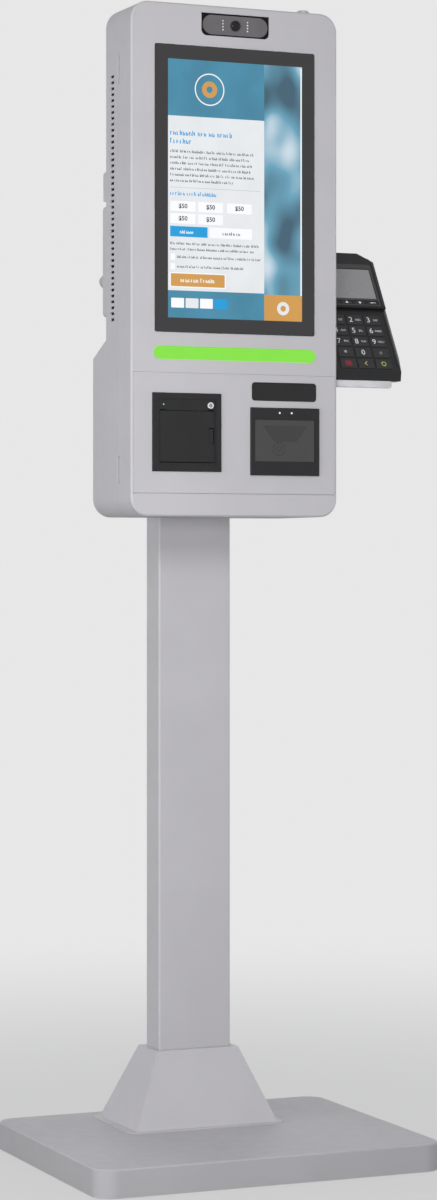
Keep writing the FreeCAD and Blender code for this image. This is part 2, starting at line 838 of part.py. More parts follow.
# The strike pin hangs from the top wall.
pad(rear_housing, "top", inner_high, strike_low, disc(lock_x, strike_y, strike_radius))

# The keeper holds the tongue of the service cover's knob.
keeper_post = keeper_x + keeper_wide / 2
keeper_lip_y = tongue_y + sheet_thin + rim_gap
pad(rear_housing, "front", upper_rear, keeper_lip_y + sheet_thin,
    block(keeper_post + sheet_thin / 2, knob_z, sheet_thin, keeper_tall))
pad(rear_housing, "front", keeper_lip_y, keeper_lip_y + sheet_thin,
    panel(keeper_x - keeper_wide / 2, keeper_post + sheet_thin,
          knob_z - keeper_tall / 2, knob_z + keeper_tall / 2))
knuckle_low, knuckle_high = lower_knuckle(service_hinge, service_knuckle_long)
pad(rear_housing, "top", knuckle_low, knuckle_high,
    panel(service_axis_x, side_x - sheet_thin, upper_rear, upper_rear + sheet_thin))
pad(rear_housing, "top", knuckle_low, knuckle_high,
    disc(service_axis_x, service_axis_y, knuckle_radius))
vent = pocket(rear_housing, "side", -side_x, side_x,
              block(vent_y, vent_low, vent_long, vent_high))
repeat(rear_housing, vent, "z", vent_pitch, vent_count)

# Service cover: a shallow pan with the upper knuckle of its hinge
rear_service_cover = body("rear_service_cover")
rim_y = upper_rear + rim_gap
pan_inner = cover_rear - sheet_thin
pad(rear_service_cover, "front", rim_y, cover_rear,
    panel(-side_x, strip_right, cover_low, cover_high, hood_corner))
pocket(rear_service_cover, "front", rim_y, pan_inner,
       panel(sheet_thin - side_x, strip_right - sheet_thin, cover_low + sheet_thin,
             cover_high - sheet_thin, hood_corner - sheet_thin))
pocket(rear_service_cover, "front", pan_inner, cover_rear,
       disc(knob_x, knob_z, spindle_radius + running))
knuckle_low, knuckle_high = upper_knuckle(service_hinge, service_knuckle_long)
pad(rear_service_cover, "top", knuckle_low, knuckle_high,
    panel(strip_right - sheet_thin, service_axis_x, rim_y, rim_y + sheet_thin))
pad(rear_service_cover, "top", knuckle_low, knuckle_high,
    disc(service_axis_x, service_axis_y, knuckle_radius))
pocket(rear_service_cover, "top", knuckle_low, knuckle_high,
       disc(service_axis_x, service_axis_y, pin_hole))

# Knob with a sloping thumb face, its spindle and the tongue inside the pan
service_cover_knob = body("service_cover_knob")
pad(service_cover_knob, "front", cover_rear + rim_gap, knob_rear,
    disc(knob_x, knob_z, knob_radius))
pocket(service_cover_knob, "side", knob_x - knob_radius, knob_x + knob_radius,
       polygon((cover_rear + sheet_thin, knob_z + knob_radius),
               (knob_rear, knob_z + knob_radius - knob_slope),
               (knob_rear, knob_z + knob_radius)))
pad(service_cover_knob, "front", tongue_y, cover_rear + rim_gap,
    disc(knob_x, knob_z, spindle_radius))
pad(service_cover_knob, "front", tongue_y, tongue_y + sheet_thin,
    panel(knob_x - tongue_wide / 2, knob_x + tongue_wide / 2, knob_z - tongue_long, knob_z))

# Hinge leaves: the rear ones carry the lower knuckles, the front ones the upper ones.


def hinge_leaves(owner, way, knuckle):
    """Leaves on the left wall's inner face, running back (way 1) or forward (-1)."""
    for middle in door_hinges:
        plate = sorted((door_axis_y + leaf_start * way, door_axis_y + leaf_reach * way),
                       key=lambda place: place.value)
        pad(owner, "top", middle - knuckle_long, middle + knuckle_long,
            panel(-inner_x, leaf_thick - inner_x, plate[0], plate[1]))
        strap = sorted((door_axis_y, door_axis_y + leaf_start * way),
                       key=lambda place: place.value)
        low, high = knuckle(middle, knuckle_long)
        pad(owner, "top", low, high,
            panel(-inner_x, leaf_thick - inner_x, strap[0], strap[1]))
        pad(owner, "top", low, high, disc(door_axis_x, door_axis_y, knuckle_radius))


hinge_rear_leaves = body("hinge_rear_leaves")
hinge_leaves(hinge_rear_leaves, 1, lower_knuckle)
hinge_front_leaves = body("hinge_front_leaves")
hinge_leaves(hinge_front_leaves, -1, upper_knuckle)
for middle in door_hinges:
    low, high = upper_knuckle(middle, knuckle_long)
    pocket(hinge_front_leaves, "top", low, high, disc(door_axis_x, door_axis_y, pin_hole))

hinge_pins = body("hinge_pins")
for middle in door_hinges:
    pad(hinge_pins, "top", middle, middle + knuckle_long,
        disc(door_axis_x, door_axis_y, hinge_pin_radius))
pad(hinge_pins, "top", service_hinge, service_hinge + service_knuckle_long,
    disc(service_axis_x, service_axis_y, hinge_pin_radius))


# Inside the rear half

FIN_COUNT = 12

computer_module = body("computer_module")
computer_front = upper_inner_rear - computer_deep
pad(computer_module, "front", upper_inner_rear, computer_front,
    block(computer_x, computer_z, computer_wide, computer_tall))
first_fin = computer_x - fin_pitch * (FIN_COUNT - 1) / 2
for i in range(FIN_COUNT):
    pad(computer_module, "front", computer_front, computer_front - fin_high,
        block(first_fin + fin_pitch * i, computer_z, fin_thick, computer_tall))

power_supply = body("power_supply")
pad(power_supply, "front", inner_rear, inner_rear - supply_deep,
    panel(supply_left, supply_left + supply_wide, supply_low, supply_low + supply_tall))
chamfer(power_supply, sheet_thin, at(y=inner_rear - supply_deep))


# Front half of the head, which is the door


front_inner = head_front + skin

front_housing = body("front_housing")
pad(front_housing, "front", head_front, door_rear,
    panel(-side_x, side_x, head_low, head_high, head_corner))
chamfer(front_housing, head_edge, at(y=head_front))
pocket(front_housing, "front", door_rear, front_inner,
       panel(-inner_x, inner_x, inner_low, inner_high, inner_corner))
front_openings = (
    block(ZERO, glass_z, glass_wide + trim_gap * 2, glass_tall + trim_gap * 2, glass_corner),
    pill(-bar_long / 2 - trim_gap, bar_long / 2 + trim_gap, bar_z, bar_radius + trim_gap),
    panel(-recess_wide / 2, recess_wide / 2, recess_low, recess_high, recess_corner,
          ("low left", "low right")),
    panel(-lower_panel_wide / 2 - trim_gap, lower_panel_wide / 2 + trim_gap,
          lower_panel_low - lower_seam, lower_panel_high + trim_gap))
for opening in front_openings:
    pocket(front_housing, "front", head_front, front_inner, opening)

# The lower opening has a ledge that the panel rests on.
ledge_x = lower_panel_wide / 2 - ledge_lap
pad(front_housing, "front", front_inner, front_inner + ledge_thick,
    panel(-inner_x, inner_x, lower_panel_low - ledge_lap, lower_panel_high + ledge_lap),
    panel(-ledge_x, ledge_x, lower_panel_low + ledge_lap, lower_panel_high - ledge_lap))
notch_front = door_axis_y - leaf_start + trim_gap
for middle in door_hinges:
    pocket(front_housing, "front", door_rear, notch_front,
           panel(-side_x, -inner_x, middle - knuckle_long - trim_gap,
                 middle + knuckle_long + trim_gap))
pocket(front_housing, "top", head_high, inner_high,
       clipped(lock_x, lock_y, lock_body_wide + running * 2, lock_body_wide + running * 2,
               lock_body_cut))

touch_glass = body("touch_glass")
pad(touch_glass, "front", front_inner, head_front - glass_proud,
    block(ZERO, glass_z, glass_wide, glass_tall, glass_corner))

# Display module: its four ears reach the wall behind the glass opening.
lcd_module = body("lcd_module")
pad(lcd_module, "front", front_inner, front_inner + screen_deep,
    block(ZERO, glass_z, screen_wide, screen_tall))
ear_reach = glass_wide / 2 + screen_ear
pad(lcd_module, "front", front_inner, front_inner + ledge_thick,
    *[panel(-ear_reach, ear_reach, glass_z + screen_ear_at * way - screen_ear_tall / 2,
            glass_z + screen_ear_at * way + screen_ear_tall / 2) for way in (-1, 1)])

# Light bar: a clear channel, closed at the back by its board
light_bar_lens = body("light_bar_lens")
bar_back = front_inner + bar_deep
pad(light_bar_lens, "front", front_inner, head_front - bar_proud,
    pill(-bar_long / 2, bar_long / 2, bar_z, bar_radius))
pad(light_bar_lens, "front", front_inner, bar_back,
    block(ZERO, bar_z, bar_long + bar_lip * 2, bar_radius * 2 + bar_lip * 2))
pocket(light_bar_lens, "front", bar_back, front_inner,
       block(ZERO, bar_z, bar_long - bar_radius * 2, bar_radius * 2 - bar_lip))
light_bar_board = body("light_bar_board")
pad(light_bar_board, "front", bar_back, bar_back + board_thick,
    block(ZERO, bar_z, bar_long + bar_lip * 2, bar_radius * 2 + bar_lip * 2))

# Camera: a black tray behind the opening, a pill-shaped face plate in it and the lens
camera_surround = body("camera_surround")
tray_back = front_inner + recess_floor
pad(camera_surround, "front", front_inner, tray_back,
    panel(-recess_wide / 2 - surround_lip, recess_wide / 2 + surround_lip,
          recess_low - surround_lip, recess_high + surround_lip))
camera_faceplate = body("camera_faceplate")
face_front = head_front + face_sunk
pad(camera_faceplate, "front", front_inner, face_front,
    pill(-face_long / 2, face_long / 2, face_z, face_radius))
camera_lens = body("camera_lens")
pad(camera_lens, "front", face_front, face_front - lens_proud, disc(ZERO, face_z, lens_radius))

# Lower panel with the openings for the printer and the scanner
lower_front_panel = body("lower_front_panel")
pad(lower_front_panel, "front", front_inner, head_front,
    panel(-lower_panel_wide / 2, lower_panel_wide / 2, lower_panel_low, lower_panel_high))
pocket(lower_front_panel, "front", head_front, front_inner,
       block(printer_x, printer_z, printer_wide - module_lap * 2, printer_tall - module_lap * 2),
       block(scanner_x, scanner_z, scanner_wide - module_lap * 2, scanner_tall - module_lap * 2))

name_plate = body("name_plate")
pad(name_plate, "front", head_front, head_front - name_thick,
    block(name_x, name_z, name_wide, name_tall, name_corner))

# Lock: a barrel whose body is flatted so that it can't turn, and a plug with its hook
lock_barrel = body("lock_barrel")
lock_top = head_high + lock_head_high
pad(lock_barrel, "top", lock_body_low, head_high,
    clipped(lock_x, lock_y, lock_body_wide, lock_body_wide, lock_body_cut))
pad(lock_barrel, "top", head_high, lock_top, disc(lock_x, lock_y, lock_head_radius))
pocket(lock_barrel, "top", lock_top, lock_body_low,
       disc(lock_x, lock_y, lock_plug_radius + running))

lock_cam = body("lock_cam")
cam_top = lock_body_low - trim_gap
strike_reach = strike_y - lock_y
slot_half = strike_radius + cam_slot_play
pad(lock_cam, "top", cam_top, lock_top, disc(lock_x, lock_y, lock_plug_radius))
pocket(lock_cam, "top", lock_top, lock_top - key_slot_deep,
       block(lock_x, lock_y, key_slot_long, key_slot_wide))


def sector(inner, outer, start, end):
    """A piece of a ring about the lock, between two angles in degrees."""
    def spot(radius, turn):
        return lock_x + radius * cosine(turn), lock_y + radius * sine(turn)

    def draw(drawing):
        centre = point(lock_x, lock_y)
        arcs = [drawing.arc(centre, radius.value, math.radians(start.value),
                            math.radians(end.value)) for radius in (inner, outer)]
        first = drawing.line(point(*spot(inner, start)), point(*spot(outer, start)))
        last = drawing.line(point(*spot(inner, end)), point(*spot(outer, end)))
        for arc, radius, line_end in zip(arcs, (inner, outer), (START, END)):
            drawing.bind_point(arc, CENTRE, lock_x, lock_y)
            drawing.tie("Coincident", arc, START, first, line_end)
            drawing.tie("Coincident", arc, END, last, line_end)
            drawing.bind_point(arc, START, *spot(radius, start))
            drawing.bind("DistanceY", (-1, 1, arc, END), spot(radius, end)[1])
    return draw


STRAIGHT_LEFT = as_size(180)
cam_inner = strike_reach - slot_half
cam_outer = strike_reach + slot_half
cam_low = cam_top - cam_thick
pad(lock_cam, "top", cam_low, cam_top, disc(lock_x, lock_y, cam_hub))
pad(lock_cam, "top", cam_low, cam_top,
    sector(cam_inner - cam_band, cam_outer + cam_band, STRAIGHT_LEFT - cam_lead,
           STRAIGHT_LEFT + cam_tail))
pocket(lock_cam, "top", cam_top, cam_low,
       sector(cam_inner, cam_outer, STRAIGHT_LEFT - cam_lead, STRAIGHT_LEFT + cam_slot_end))
pad(lock_cam, "top", cam_low, cam_top,
    sector(cam_hub - running, cam_inner - cam_band, STRAIGHT_LEFT + cam_slot_end,
           STRAIGHT_LEFT + cam_tail))


# Receipt printer


frame_left = printer_x - printer_wide / 2
frame_right = printer_x + printer_wide / 2
frame_low = printer_z - printer_tall / 2
frame_high = printer_z + printer_tall / 2
frame_front = head_front - frame_proud
frame_face = frame_front + frame_face_sunk
slot_top = lid_high + slot_high

# The frame has a raised border, a sunk face and the opening for the lid.
printer_frame = body("printer_frame")
pad(printer_frame, "front", head_front, frame_front,
    panel(frame_left, frame_right, frame_low, frame_high))
chamfer(printer_frame, frame_edge, at(y=frame_front))
pocket(printer_frame, "front", frame_front, frame_face,
       panel(frame_left + frame_border, frame_right - frame_border,
             frame_low + frame_border, frame_high - frame_border))
pocket(printer_frame, "front", frame_face, head_front,
       panel(lid_left - lid_gap, lid_right + lid_gap, lid_low - lid_gap, slot_top))
pocket(printer_frame, "front", frame_face, head_front,
       disc(feed_x, feed_z, feed_radius + feed_play))
pad(printer_frame, "front", head_front, front_inner,
    panel(frame_left + module_lap + lid_gap, frame_right - module_lap - lid_gap,
          frame_low + module_lap + lid_gap, frame_high - module_lap - lid_gap),
    panel(frame_left + module_lap + engine_wall, frame_right - module_lap - engine_wall,
          frame_low + module_lap + engine_wall, frame_high - module_lap - engine_wall))

# The frame holds the pins of the lid and the lever.
lid_axis_y = frame_face + lid_barrel_radius
lid_axis_z = lid_low + lid_barrel_radius
lever_front = frame_face + lid_gap
lever_axis_y = lever_front + lever_barrel_radius
lever_axis_z = lever_high - lever_barrel_radius
bay_left = lid_left - lid_gap
bay_right = lid_right + lid_gap
collar_right = frame_right - module_lap - engine_wall
pad(printer_frame, "side", bay_left, bay_right, disc(lid_axis_y, lid_axis_z, lid_pin_radius))
pad(printer_frame, "side", lever_left, bay_right,
    disc(lever_axis_y, lever_axis_z, lever_pin_radius))
pad(printer_frame, "side", bay_right, collar_right,
    panel(head_front, front_inner, lever_axis_z - lever_pin_radius,
          lever_axis_z + lever_pin_radius))

# Lid: a plate that hinges on a barrel along its lower edge and carries the platen
lid_back = frame_face + lid_thick
lever_recess = lever_left - lid_gap
printer_lid = body("printer_lid")
pad(printer_lid, "front", frame_face, lid_back,
    panel(lid_left, lid_right, lid_axis_z, lid_high))
pad(printer_lid, "side", lid_left, lid_right,
    disc(lid_axis_y, lid_axis_z, lid_barrel_radius))
pocket(printer_lid, "side", lid_left, lid_right,
       disc(lid_axis_y, lid_axis_z, lid_pin_radius + running))
pocket(printer_lid, "front", frame_face, lid_back,
       panel(lever_recess, lid_right, lever_low - lid_gap, lever_high + lid_gap))
roll_left = printer_x - roll_wide / 2
roll_right = printer_x + roll_wide / 2
for low, high in ((roll_left - roll_gap - platen_arm, roll_left - roll_gap),
                  (roll_right + roll_gap, roll_right + roll_gap + platen_arm)):
    pad(printer_lid, "side", low, high,
        panel(lid_back, platen_y + platen_arm_half, platen_z - platen_arm_half,
              platen_z + platen_arm_half))
    pocket(printer_lid, "side", low, high,
           disc(platen_y, platen_z, platen_shaft + running))

platen_roller = body("platen_roller")
pad(platen_roller, "side", roll_left, roll_right, disc(platen_y, platen_z, platen_radius))
pad(platen_roller, "side", roll_left, roll_left - platen_arm - well_play,
    disc(platen_y, platen_z, platen_shaft))
pad(platen_roller, "side", roll_right, roll_right + platen_arm + well_play,
    disc(platen_y, platen_z, platen_shaft))

paper_roll = body("paper_roll")
pad(paper_roll, "side", roll_left, roll_right, disc(roll_y, roll_z, roll_radius))
pocket(paper_roll, "side", roll_left, roll_right, disc(roll_y, roll_z, roll_core))

# Mechanism: a block with a front bay for the lid's parts and a round well for the roll
printer_mechanism = body("printer_mechanism")
engine_left = frame_left + module_lap
engine_right = frame_right - module_lap
engine_low = frame_low + frame_border
engine_high = slot_top - roll_gap
bay_back = front_inner + engine_bay
bucket = roll_radius + roll_gap
pad(printer_mechanism, "front", front_inner, front_inner + engine_deep,
    panel(engine_left, engine_right, engine_low - engine_wall, engine_high))
pocket(printer_mechanism, "front", front_inner, bay_back,
       panel(bay_left, bay_right, engine_low, engine_high))
pocket(printer_mechanism, "side", roll_left - well_play, roll_right + well_play,
       disc(roll_y, roll_z, bucket))
pocket(printer_mechanism, "side", roll_left - well_play, roll_right + well_play,
       panel(bay_back - well_play, roll_y, roll_z - bucket, engine_high - cutter_high))
pocket(printer_mechanism, "side", roll_left - well_play, roll_right + well_play,
       panel(roll_y, roll_y + bucket, roll_z, engine_high - cutter_high))

# Lever beside the lid, on the frame's short pin
printer_lever = body("printer_lever")
pad(printer_lever, "side", lever_left, lever_right,
    disc(lever_axis_y, lever_axis_z, lever_barrel_radius))
pad(printer_lever, "side", lever_left, lever_right,
    panel(lever_front, lever_front + lever_thick, lever_low, lever_axis_z))
pocket(printer_lever, "side", lever_left, lever_right,
       disc(lever_axis_y, lever_axis_z, lever_pin_radius + running))

printer_feed_button = body("printer_feed_button")
pad(printer_feed_button, "front", head_front + feed_play, frame_face - feed_proud,
    disc(feed_x, feed_z, feed_radius))
pad(printer_feed_button, "front", head_front + feed_play,
    head_front + feed_play + feed_flange_thick,
    block(feed_x, feed_z, feed_flange * 2, feed_flange * 2))


# Scanner


scanner_housing = body("scanner_housing")
scanner_front = head_front - scanner_proud
pad(scanner_housing, "front", head_front, scanner_front,
    block(scanner_x, scanner_z, scanner_wide, scanner_tall))
chamfer(scanner_housing, scanner_edge, at(y=scanner_front))
collar_wide = scanner_wide - (module_lap + trim_gap) * 2
collar_tall = scanner_tall - (module_lap + trim_gap) * 2
pad(scanner_housing, "front", head_front, front_inner + scanner_deep,
    block(scanner_x, scanner_z, collar_wide, collar_tall))
window_front = scanner_front + scan_window_sunk
window_back = window_front + scan_window_thick
pocket(scanner_housing, "front", scanner_front, window_back,
       block(window_x, window_z, scan_window_wide + trim_gap * 2, scan_window_tall + trim_gap * 2))
pocket(scanner_housing, "front", window_back, front_inner + scanner_deep / 2,
       block(window_x, window_z, scan_window_wide - scan_seat * 2, scan_window_tall - scan_seat * 2))
scanner_window = body("scanner_window")
pad(scanner_window, "front", window_back, window_front,
    block(window_x, window_z, scan_window_wide, scan_window_tall))


# Card terminal on its bracket


UPRIGHT = as_size(90)
lean_sine = sine(terminal_lean)
lean_cosine = cosine(terminal_lean)


def set_on_terminal(owner, along=ZERO, up=ZERO, out=ZERO):
    """Places a body in the terminal's own frame: x across, y up the face, z outwards."""
    owner.Placement.Rotation = FreeCAD.Rotation(Vector(1, 0, 0), UPRIGHT.value)
    owner.setExpression("Placement.Rotation.Angle", (UPRIGHT - terminal_lean).text)
    owner.setExpression("Placement.Base.x", (terminal_x + along).text)
    owner.setExpression("Placement.Base.y",
                        (terminal_y + up * lean_sine - out * lean_cosine).text)
    owner.setExpression("Placement.Base.z",
                        (terminal_z + up * lean_cosine + out * lean_sine).text)


def foot_at(depth):
    """Place up the face where the shelf's level cuts the case at one depth."""
    return (shelf_top - terminal_z - depth * lean_sine) / lean_cosine


terminal_bracket = body("terminal_bracket")
shelf_left = side_x + shelf_clear
pad(terminal_bracket, "top", shelf_top - bracket_sheet, shelf_top,
    panel(shelf_left, shelf_right, shelf_front, shelf_rear, shelf_corner, ("low right",)))
pad(terminal_bracket, "front", shelf_front, shelf_front + bracket_sheet,
    panel(shelf_left, shelf_right - shelf_corner, shelf_top - shelf_lip,
          shelf_top - bracket_sheet))
pad(terminal_bracket, "side", side_x, side_x + bracket_sheet,
    panel(rear_front + shelf_clear, bracket_rear, shelf_top - bracket_drop, shelf_top))
back_foot = foot_at(-case_deep)
back_y = terminal_y + case_deep * lean_cosine


def back_spot(up, behind):
    return (back_y + up * lean_sine + behind * lean_cosine,
            terminal_z - case_deep * lean_sine + up * lean_cosine - behind * lean_sine)


pad(terminal_bracket, "side", back_left, back_right,
    polygon(back_spot(back_foot, ZERO), back_spot(back_high, ZERO),
            back_spot(back_high, bracket_sheet),
            (back_spot(foot_at(-case_deep - bracket_sheet), bracket_sheet))))

terminal_case = body("terminal_case")
set_on_terminal(terminal_case)
case_back = -case_deep
face_q = -case_face
shoulder_q = -case_shoulder
pad(terminal_case, "side", -case_half, case_half,
    polygon((foot_at(case_back), case_back), (case_top - case_shoulder, case_back),
            (case_top, shoulder_q - case_face), (case_top - case_shoulder, face_q),
            (chin_start, face_q), (foot_at(-lip_depth), -lip_depth)))
for way in (-1, 1):
    edge = case_half * way
    pocket(terminal_case, "top", face_q, case_back,
           polygon((edge, case_top - case_top_drop), (edge, case_top),
                   (edge - case_top_run * way, case_top)))
    pocket(terminal_case, "top", face_q, case_back,
           polygon((edge, case_foot_start), (case_foot_half * way, foot_at(-lip_depth)),
                   (edge, foot_at(-lip_depth))))
    pocket(terminal_case, "front", case_top, foot_at(-lip_depth),
           polygon((edge, shoulder_q), (case_face_half * way, face_q), (edge, face_q)))
pad(terminal_case, "top", face_q, deck_proud,
    polygon((-deck_half, deck_low), (deck_half, deck_low), (deck_half, deck_shoulder),
            (deck_flat, deck_high), (-deck_flat, deck_high), (-deck_half, deck_shoulder)))
chamfer(terminal_case, deck_edge, at(z=deck_proud))
pane_left = pane_x - pane_wide / 2
pane_right = pane_x + pane_wide / 2
pane_floor = deck_proud - pane_sunk - pane_thick
pocket(terminal_case, "top", deck_proud, pane_floor,
       panel(pane_left - key_gap, pane_right + key_gap, pane_low - key_gap, pane_high + key_gap))
key_floor = -key_thick - key_travel - key_gap
pocket(terminal_case, "top", face_q, key_floor,
       *(clipped(key_across * column, key_down * row, key_wide + key_gap * 2,
                 key_tall + key_gap * 2, key_corner)
         for column in (-1, 0, 1) for row in (-2, -1, 0, 1, 2)))
soft_key = pocket(terminal_case, "top", deck_proud, deck_proud + key_floor,
                  block(soft_first, soft_y, soft_wide + key_gap * 2, soft_tall + key_gap * 2))
repeat(terminal_case, soft_key, "x", soft_across, as_size(4))

terminal_display = body("terminal_display")
set_on_terminal(terminal_display)
pad(terminal_display, "top", pane_floor, pane_floor + pane_thick,
    panel(pane_left, pane_right, pane_low, pane_high))

KEY_ROWS = (("123", 2), ("456", 1), ("789", 0), (("left", "0", "right"), -1),
            (("cancel", "clear", "enter"), -2))
for names, row in KEY_ROWS:
    for column, name in zip((-1, 0, 1), names):
        key = body(f"key_{name}")
        set_on_terminal(key, key_across * column, key_down * row)
        pad(key, "top", -key_thick, ZERO, clipped(ZERO, ZERO, key_wide, key_tall, key_corner))
        chamfer(key, key_edge, at(z=ZERO))
for index in range(4):
    key = body(f"soft_key_{index + 1}")
    set_on_terminal(key, soft_first + soft_across * index, soft_y, deck_proud)
    pad(key, "top", -key_thick, ZERO, block(ZERO, ZERO, soft_wide, soft_tall))
    chamfer(key, key_edge, at(z=ZERO))


# Check every object, then write one file for each node

doc.recompute()
for item in doc.Objects:
    if "Invalid" in item.State or "Error" in item.State:
        raise RuntimeError(f"{item.Name} failed")
os.makedirs("parts", exist_ok=True)
for node in nodes:
    if node.Shape.isNull() or not node.Shape.isValid():
        raise RuntimeError(f"{node.Label} has no valid shape")
    node.Shape.exportStep(f"parts/{node.Label}.step")
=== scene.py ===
# %% [markdown]
# A donation kiosk stands on a steel base, with a touch screen, a printer, a scanner
# and a card terminal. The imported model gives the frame: every solid part is there
# already, in metres, with +Z up and the screen facing -Y. This script loads it, gives
# each part its finish and adds the small pieces that a solid model leaves out.

import json
import math
import random

import bmesh
import bpy
from mathutils import Matrix, Vector


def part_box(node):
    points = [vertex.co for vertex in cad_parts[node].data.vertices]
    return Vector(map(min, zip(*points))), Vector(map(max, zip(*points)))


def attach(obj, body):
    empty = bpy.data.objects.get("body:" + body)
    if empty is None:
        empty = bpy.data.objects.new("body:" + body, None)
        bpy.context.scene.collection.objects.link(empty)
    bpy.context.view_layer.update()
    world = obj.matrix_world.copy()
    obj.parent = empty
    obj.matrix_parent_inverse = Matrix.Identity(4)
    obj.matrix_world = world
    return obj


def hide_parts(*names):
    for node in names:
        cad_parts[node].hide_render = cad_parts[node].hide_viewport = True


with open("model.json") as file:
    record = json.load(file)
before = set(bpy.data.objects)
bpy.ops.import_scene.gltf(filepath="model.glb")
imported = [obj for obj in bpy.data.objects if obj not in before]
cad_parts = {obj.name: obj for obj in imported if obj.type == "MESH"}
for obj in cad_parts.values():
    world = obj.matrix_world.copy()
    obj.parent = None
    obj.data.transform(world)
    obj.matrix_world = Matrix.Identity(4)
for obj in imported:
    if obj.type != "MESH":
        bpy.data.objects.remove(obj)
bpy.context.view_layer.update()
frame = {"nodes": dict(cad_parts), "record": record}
nodes = frame["nodes"]
MM = 0.001


def new_object(name, data):
    """Puts a new object into the scene."""
    item = bpy.data.objects.new(name, data)
    bpy.context.scene.collection.objects.link(item)
    return item


print("parts in the frame:", len(nodes))

# %% [markdown]
# The camera comes first, so that every later step can be judged from the same place.
# A photograph's viewpoint can be found by eye, by nudging, or worked out from edges
# that are known to be straight and square. The last way was used here, and it gives
# the lens, the place and the direction. The camera looks level, and a small upward
# shift stands in for the crop, so that upright edges stay upright.

# %% Camera
PHOTO_TALL = 1200
FOCAL_PIXELS = 3109.1
HORIZON_PIXEL = 564.28
CAMERA_PLACE = (-1.6718, -3.8889, 0.8091)
CAMERA_TURN = math.radians(-23.33)

lens = bpy.data.cameras.new("photo_camera")
lens.lens = FOCAL_PIXELS / PHOTO_TALL * lens.sensor_width
lens.shift_y = (HORIZON_PIXEL - PHOTO_TALL / 2) / PHOTO_TALL
lens.clip_end = 50
camera = new_object("photo_camera", lens)
camera.location = CAMERA_PLACE
camera.rotation_euler = (math.pi / 2, 0, CAMERA_TURN)
bpy.context.scene.camera = camera
print("lens in millimetres:", round(lens.lens, 2))

# %% [markdown]
# Light in a studio comes from large soft boxes, so the shadows are wide and pale.
# Lamps could be many small points, but a few big area lamps give the same calm look
# with less noise. A near lamp at chest height lights the front and fades towards the
# head's top and the base. Lamps that would show in the glass or on top of the base
# are kept out of reflections, and the others give the glints.

# %% Studio lamps
HEAD_MIDDLE = (0, 0, 1.0)


def studio_lamp(name, place, size, power, aim=HEAD_MIDDLE, glints=True):
    lamp = bpy.data.lights.new(name, "AREA")
    lamp.shape = "RECTANGLE"
    lamp.size, lamp.size_y = size
    lamp.energy = power
    holder = new_object(name, lamp)
    holder.location = place
    holder.rotation_euler = (Vector(aim) - Vector(place)).to_track_quat("-Z", "Y").to_euler()
    holder.visible_camera = False
    holder.visible_glossy = glints
    print(name, "at", place)


studio_lamp("lamp_front", (-0.7, -1.6, 0.9), (0.9, 0.4), 10, aim=(0, 0, 0.9), glints=False)
studio_lamp("lamp_high", (-1.1, -2.5, 1.9), (1.0, 0.7), 26)
studio_lamp("lamp_left", (-2.2, -1.3, 0.75), (1.2, 0.6), 14, aim=(0, 0, 0.8), glints=False)
studio_lamp("lamp_side", (-3.8, -0.2, 1.0), (1.8, 1.8), 16)
studio_lamp("lamp_right", (3.6, 0.4, 1.1), (1.6, 2.0), 26)
studio_lamp("lamp_rear", (0.8, 3.8, 1.1), (2.2, 2.0), 58, glints=False)
studio_lamp("lamp_top", (0, -0.4, 4.2), (2.6, 2.6), 4)

# %% [markdown]
# The air, the floor and every finish are built from nodes. A node does one small job,
# and its sockets hold plain values or take links from other nodes. Two helpers keep the
# wiring short: the first fills sockets by name, and the second adds a node and fills it.
# What comes out of another node is linked, and anything else is written in as a value.

# %% Helpers for nodes
def wire(tree, node, sockets):
    for name, value in sockets.items():
        if isinstance(value, bpy.types.NodeSocket):
            tree.links.new(value, node.inputs[name])
        else:
            node.inputs[name].default_value = value


def add_node(tree, kind, sockets, **settings):
    """Adds a shader node. Its settings, such as an operation, come before its sockets."""
    node = tree.nodes.new("ShaderNode" + kind)
    for name, value in settings.items():
        setattr(node, name, value)
    wire(tree, node, sockets)
    return node


def ranged(tree, value, low, high, low_in=0.35, high_in=0.65, **settings):
    """Spreads a value over the range from low to high. A noise mostly keeps to its
    middle, so that is what is spread where nothing else is said."""
    sockets = {"Value": value, "From Min": low_in, "From Max": high_in,
               "To Min": low, "To Max": high}
    return add_node(tree, "MapRange", sockets, **settings).outputs["Result"]


finishes = {}


def start_finish(name, color, roughness, metallic=0.0):
    """Starts a material with plain values and keeps it in the table of finishes."""
    material = bpy.data.materials.new(name)
    material.use_nodes = True
    shader = material.node_tree.nodes["Principled BSDF"]
    wire(material.node_tree, shader,
         {"Base Color": (*color, 1), "Roughness": roughness, "Metallic": metallic})
    finishes[name] = material
    print("finish:", name)
    return material.node_tree, shader

# %% [markdown]
# The floor is flat and fades into the white air around it, so there is no horizon. A
# curved backdrop would do the same, but a flat floor needs no room behind the object.
# The white shows to the camera, in glossy surfaces and through glass, and adds little
# light of its own. Near the object most of the floor's own shader stays, and with it
# the shadow.

# %% Air and floor
PAPER_WHITE = (0.8, 0.8, 0.8, 1)


def seen_white(tree, shader, output, share=None):
    """Shows plain white to the camera and in reflections, whatever the light. A share
    keeps some of the shader, so that a floor still shows a shadow."""
    path = tree.nodes.new("ShaderNodeLightPath")
    seen = path.outputs["Is Camera Ray"]
    for kind in ("Is Glossy Ray", "Is Transmission Ray"):
        seen = add_node(tree, "Math", {0: seen, 1: path.outputs[kind]},
                        operation="MAXIMUM").outputs[0]
    if share:
        seen = add_node(tree, "Math", {0: seen, 1: share}, operation="MULTIPLY").outputs[0]
    glow = add_node(tree, "Emission", {"Color": PAPER_WHITE})
    mix = add_node(tree, "MixShader", {0: seen, 1: shader.outputs[0], 2: glow.outputs[0]})
    wire(tree, output, {"Surface": mix.outputs[0]})


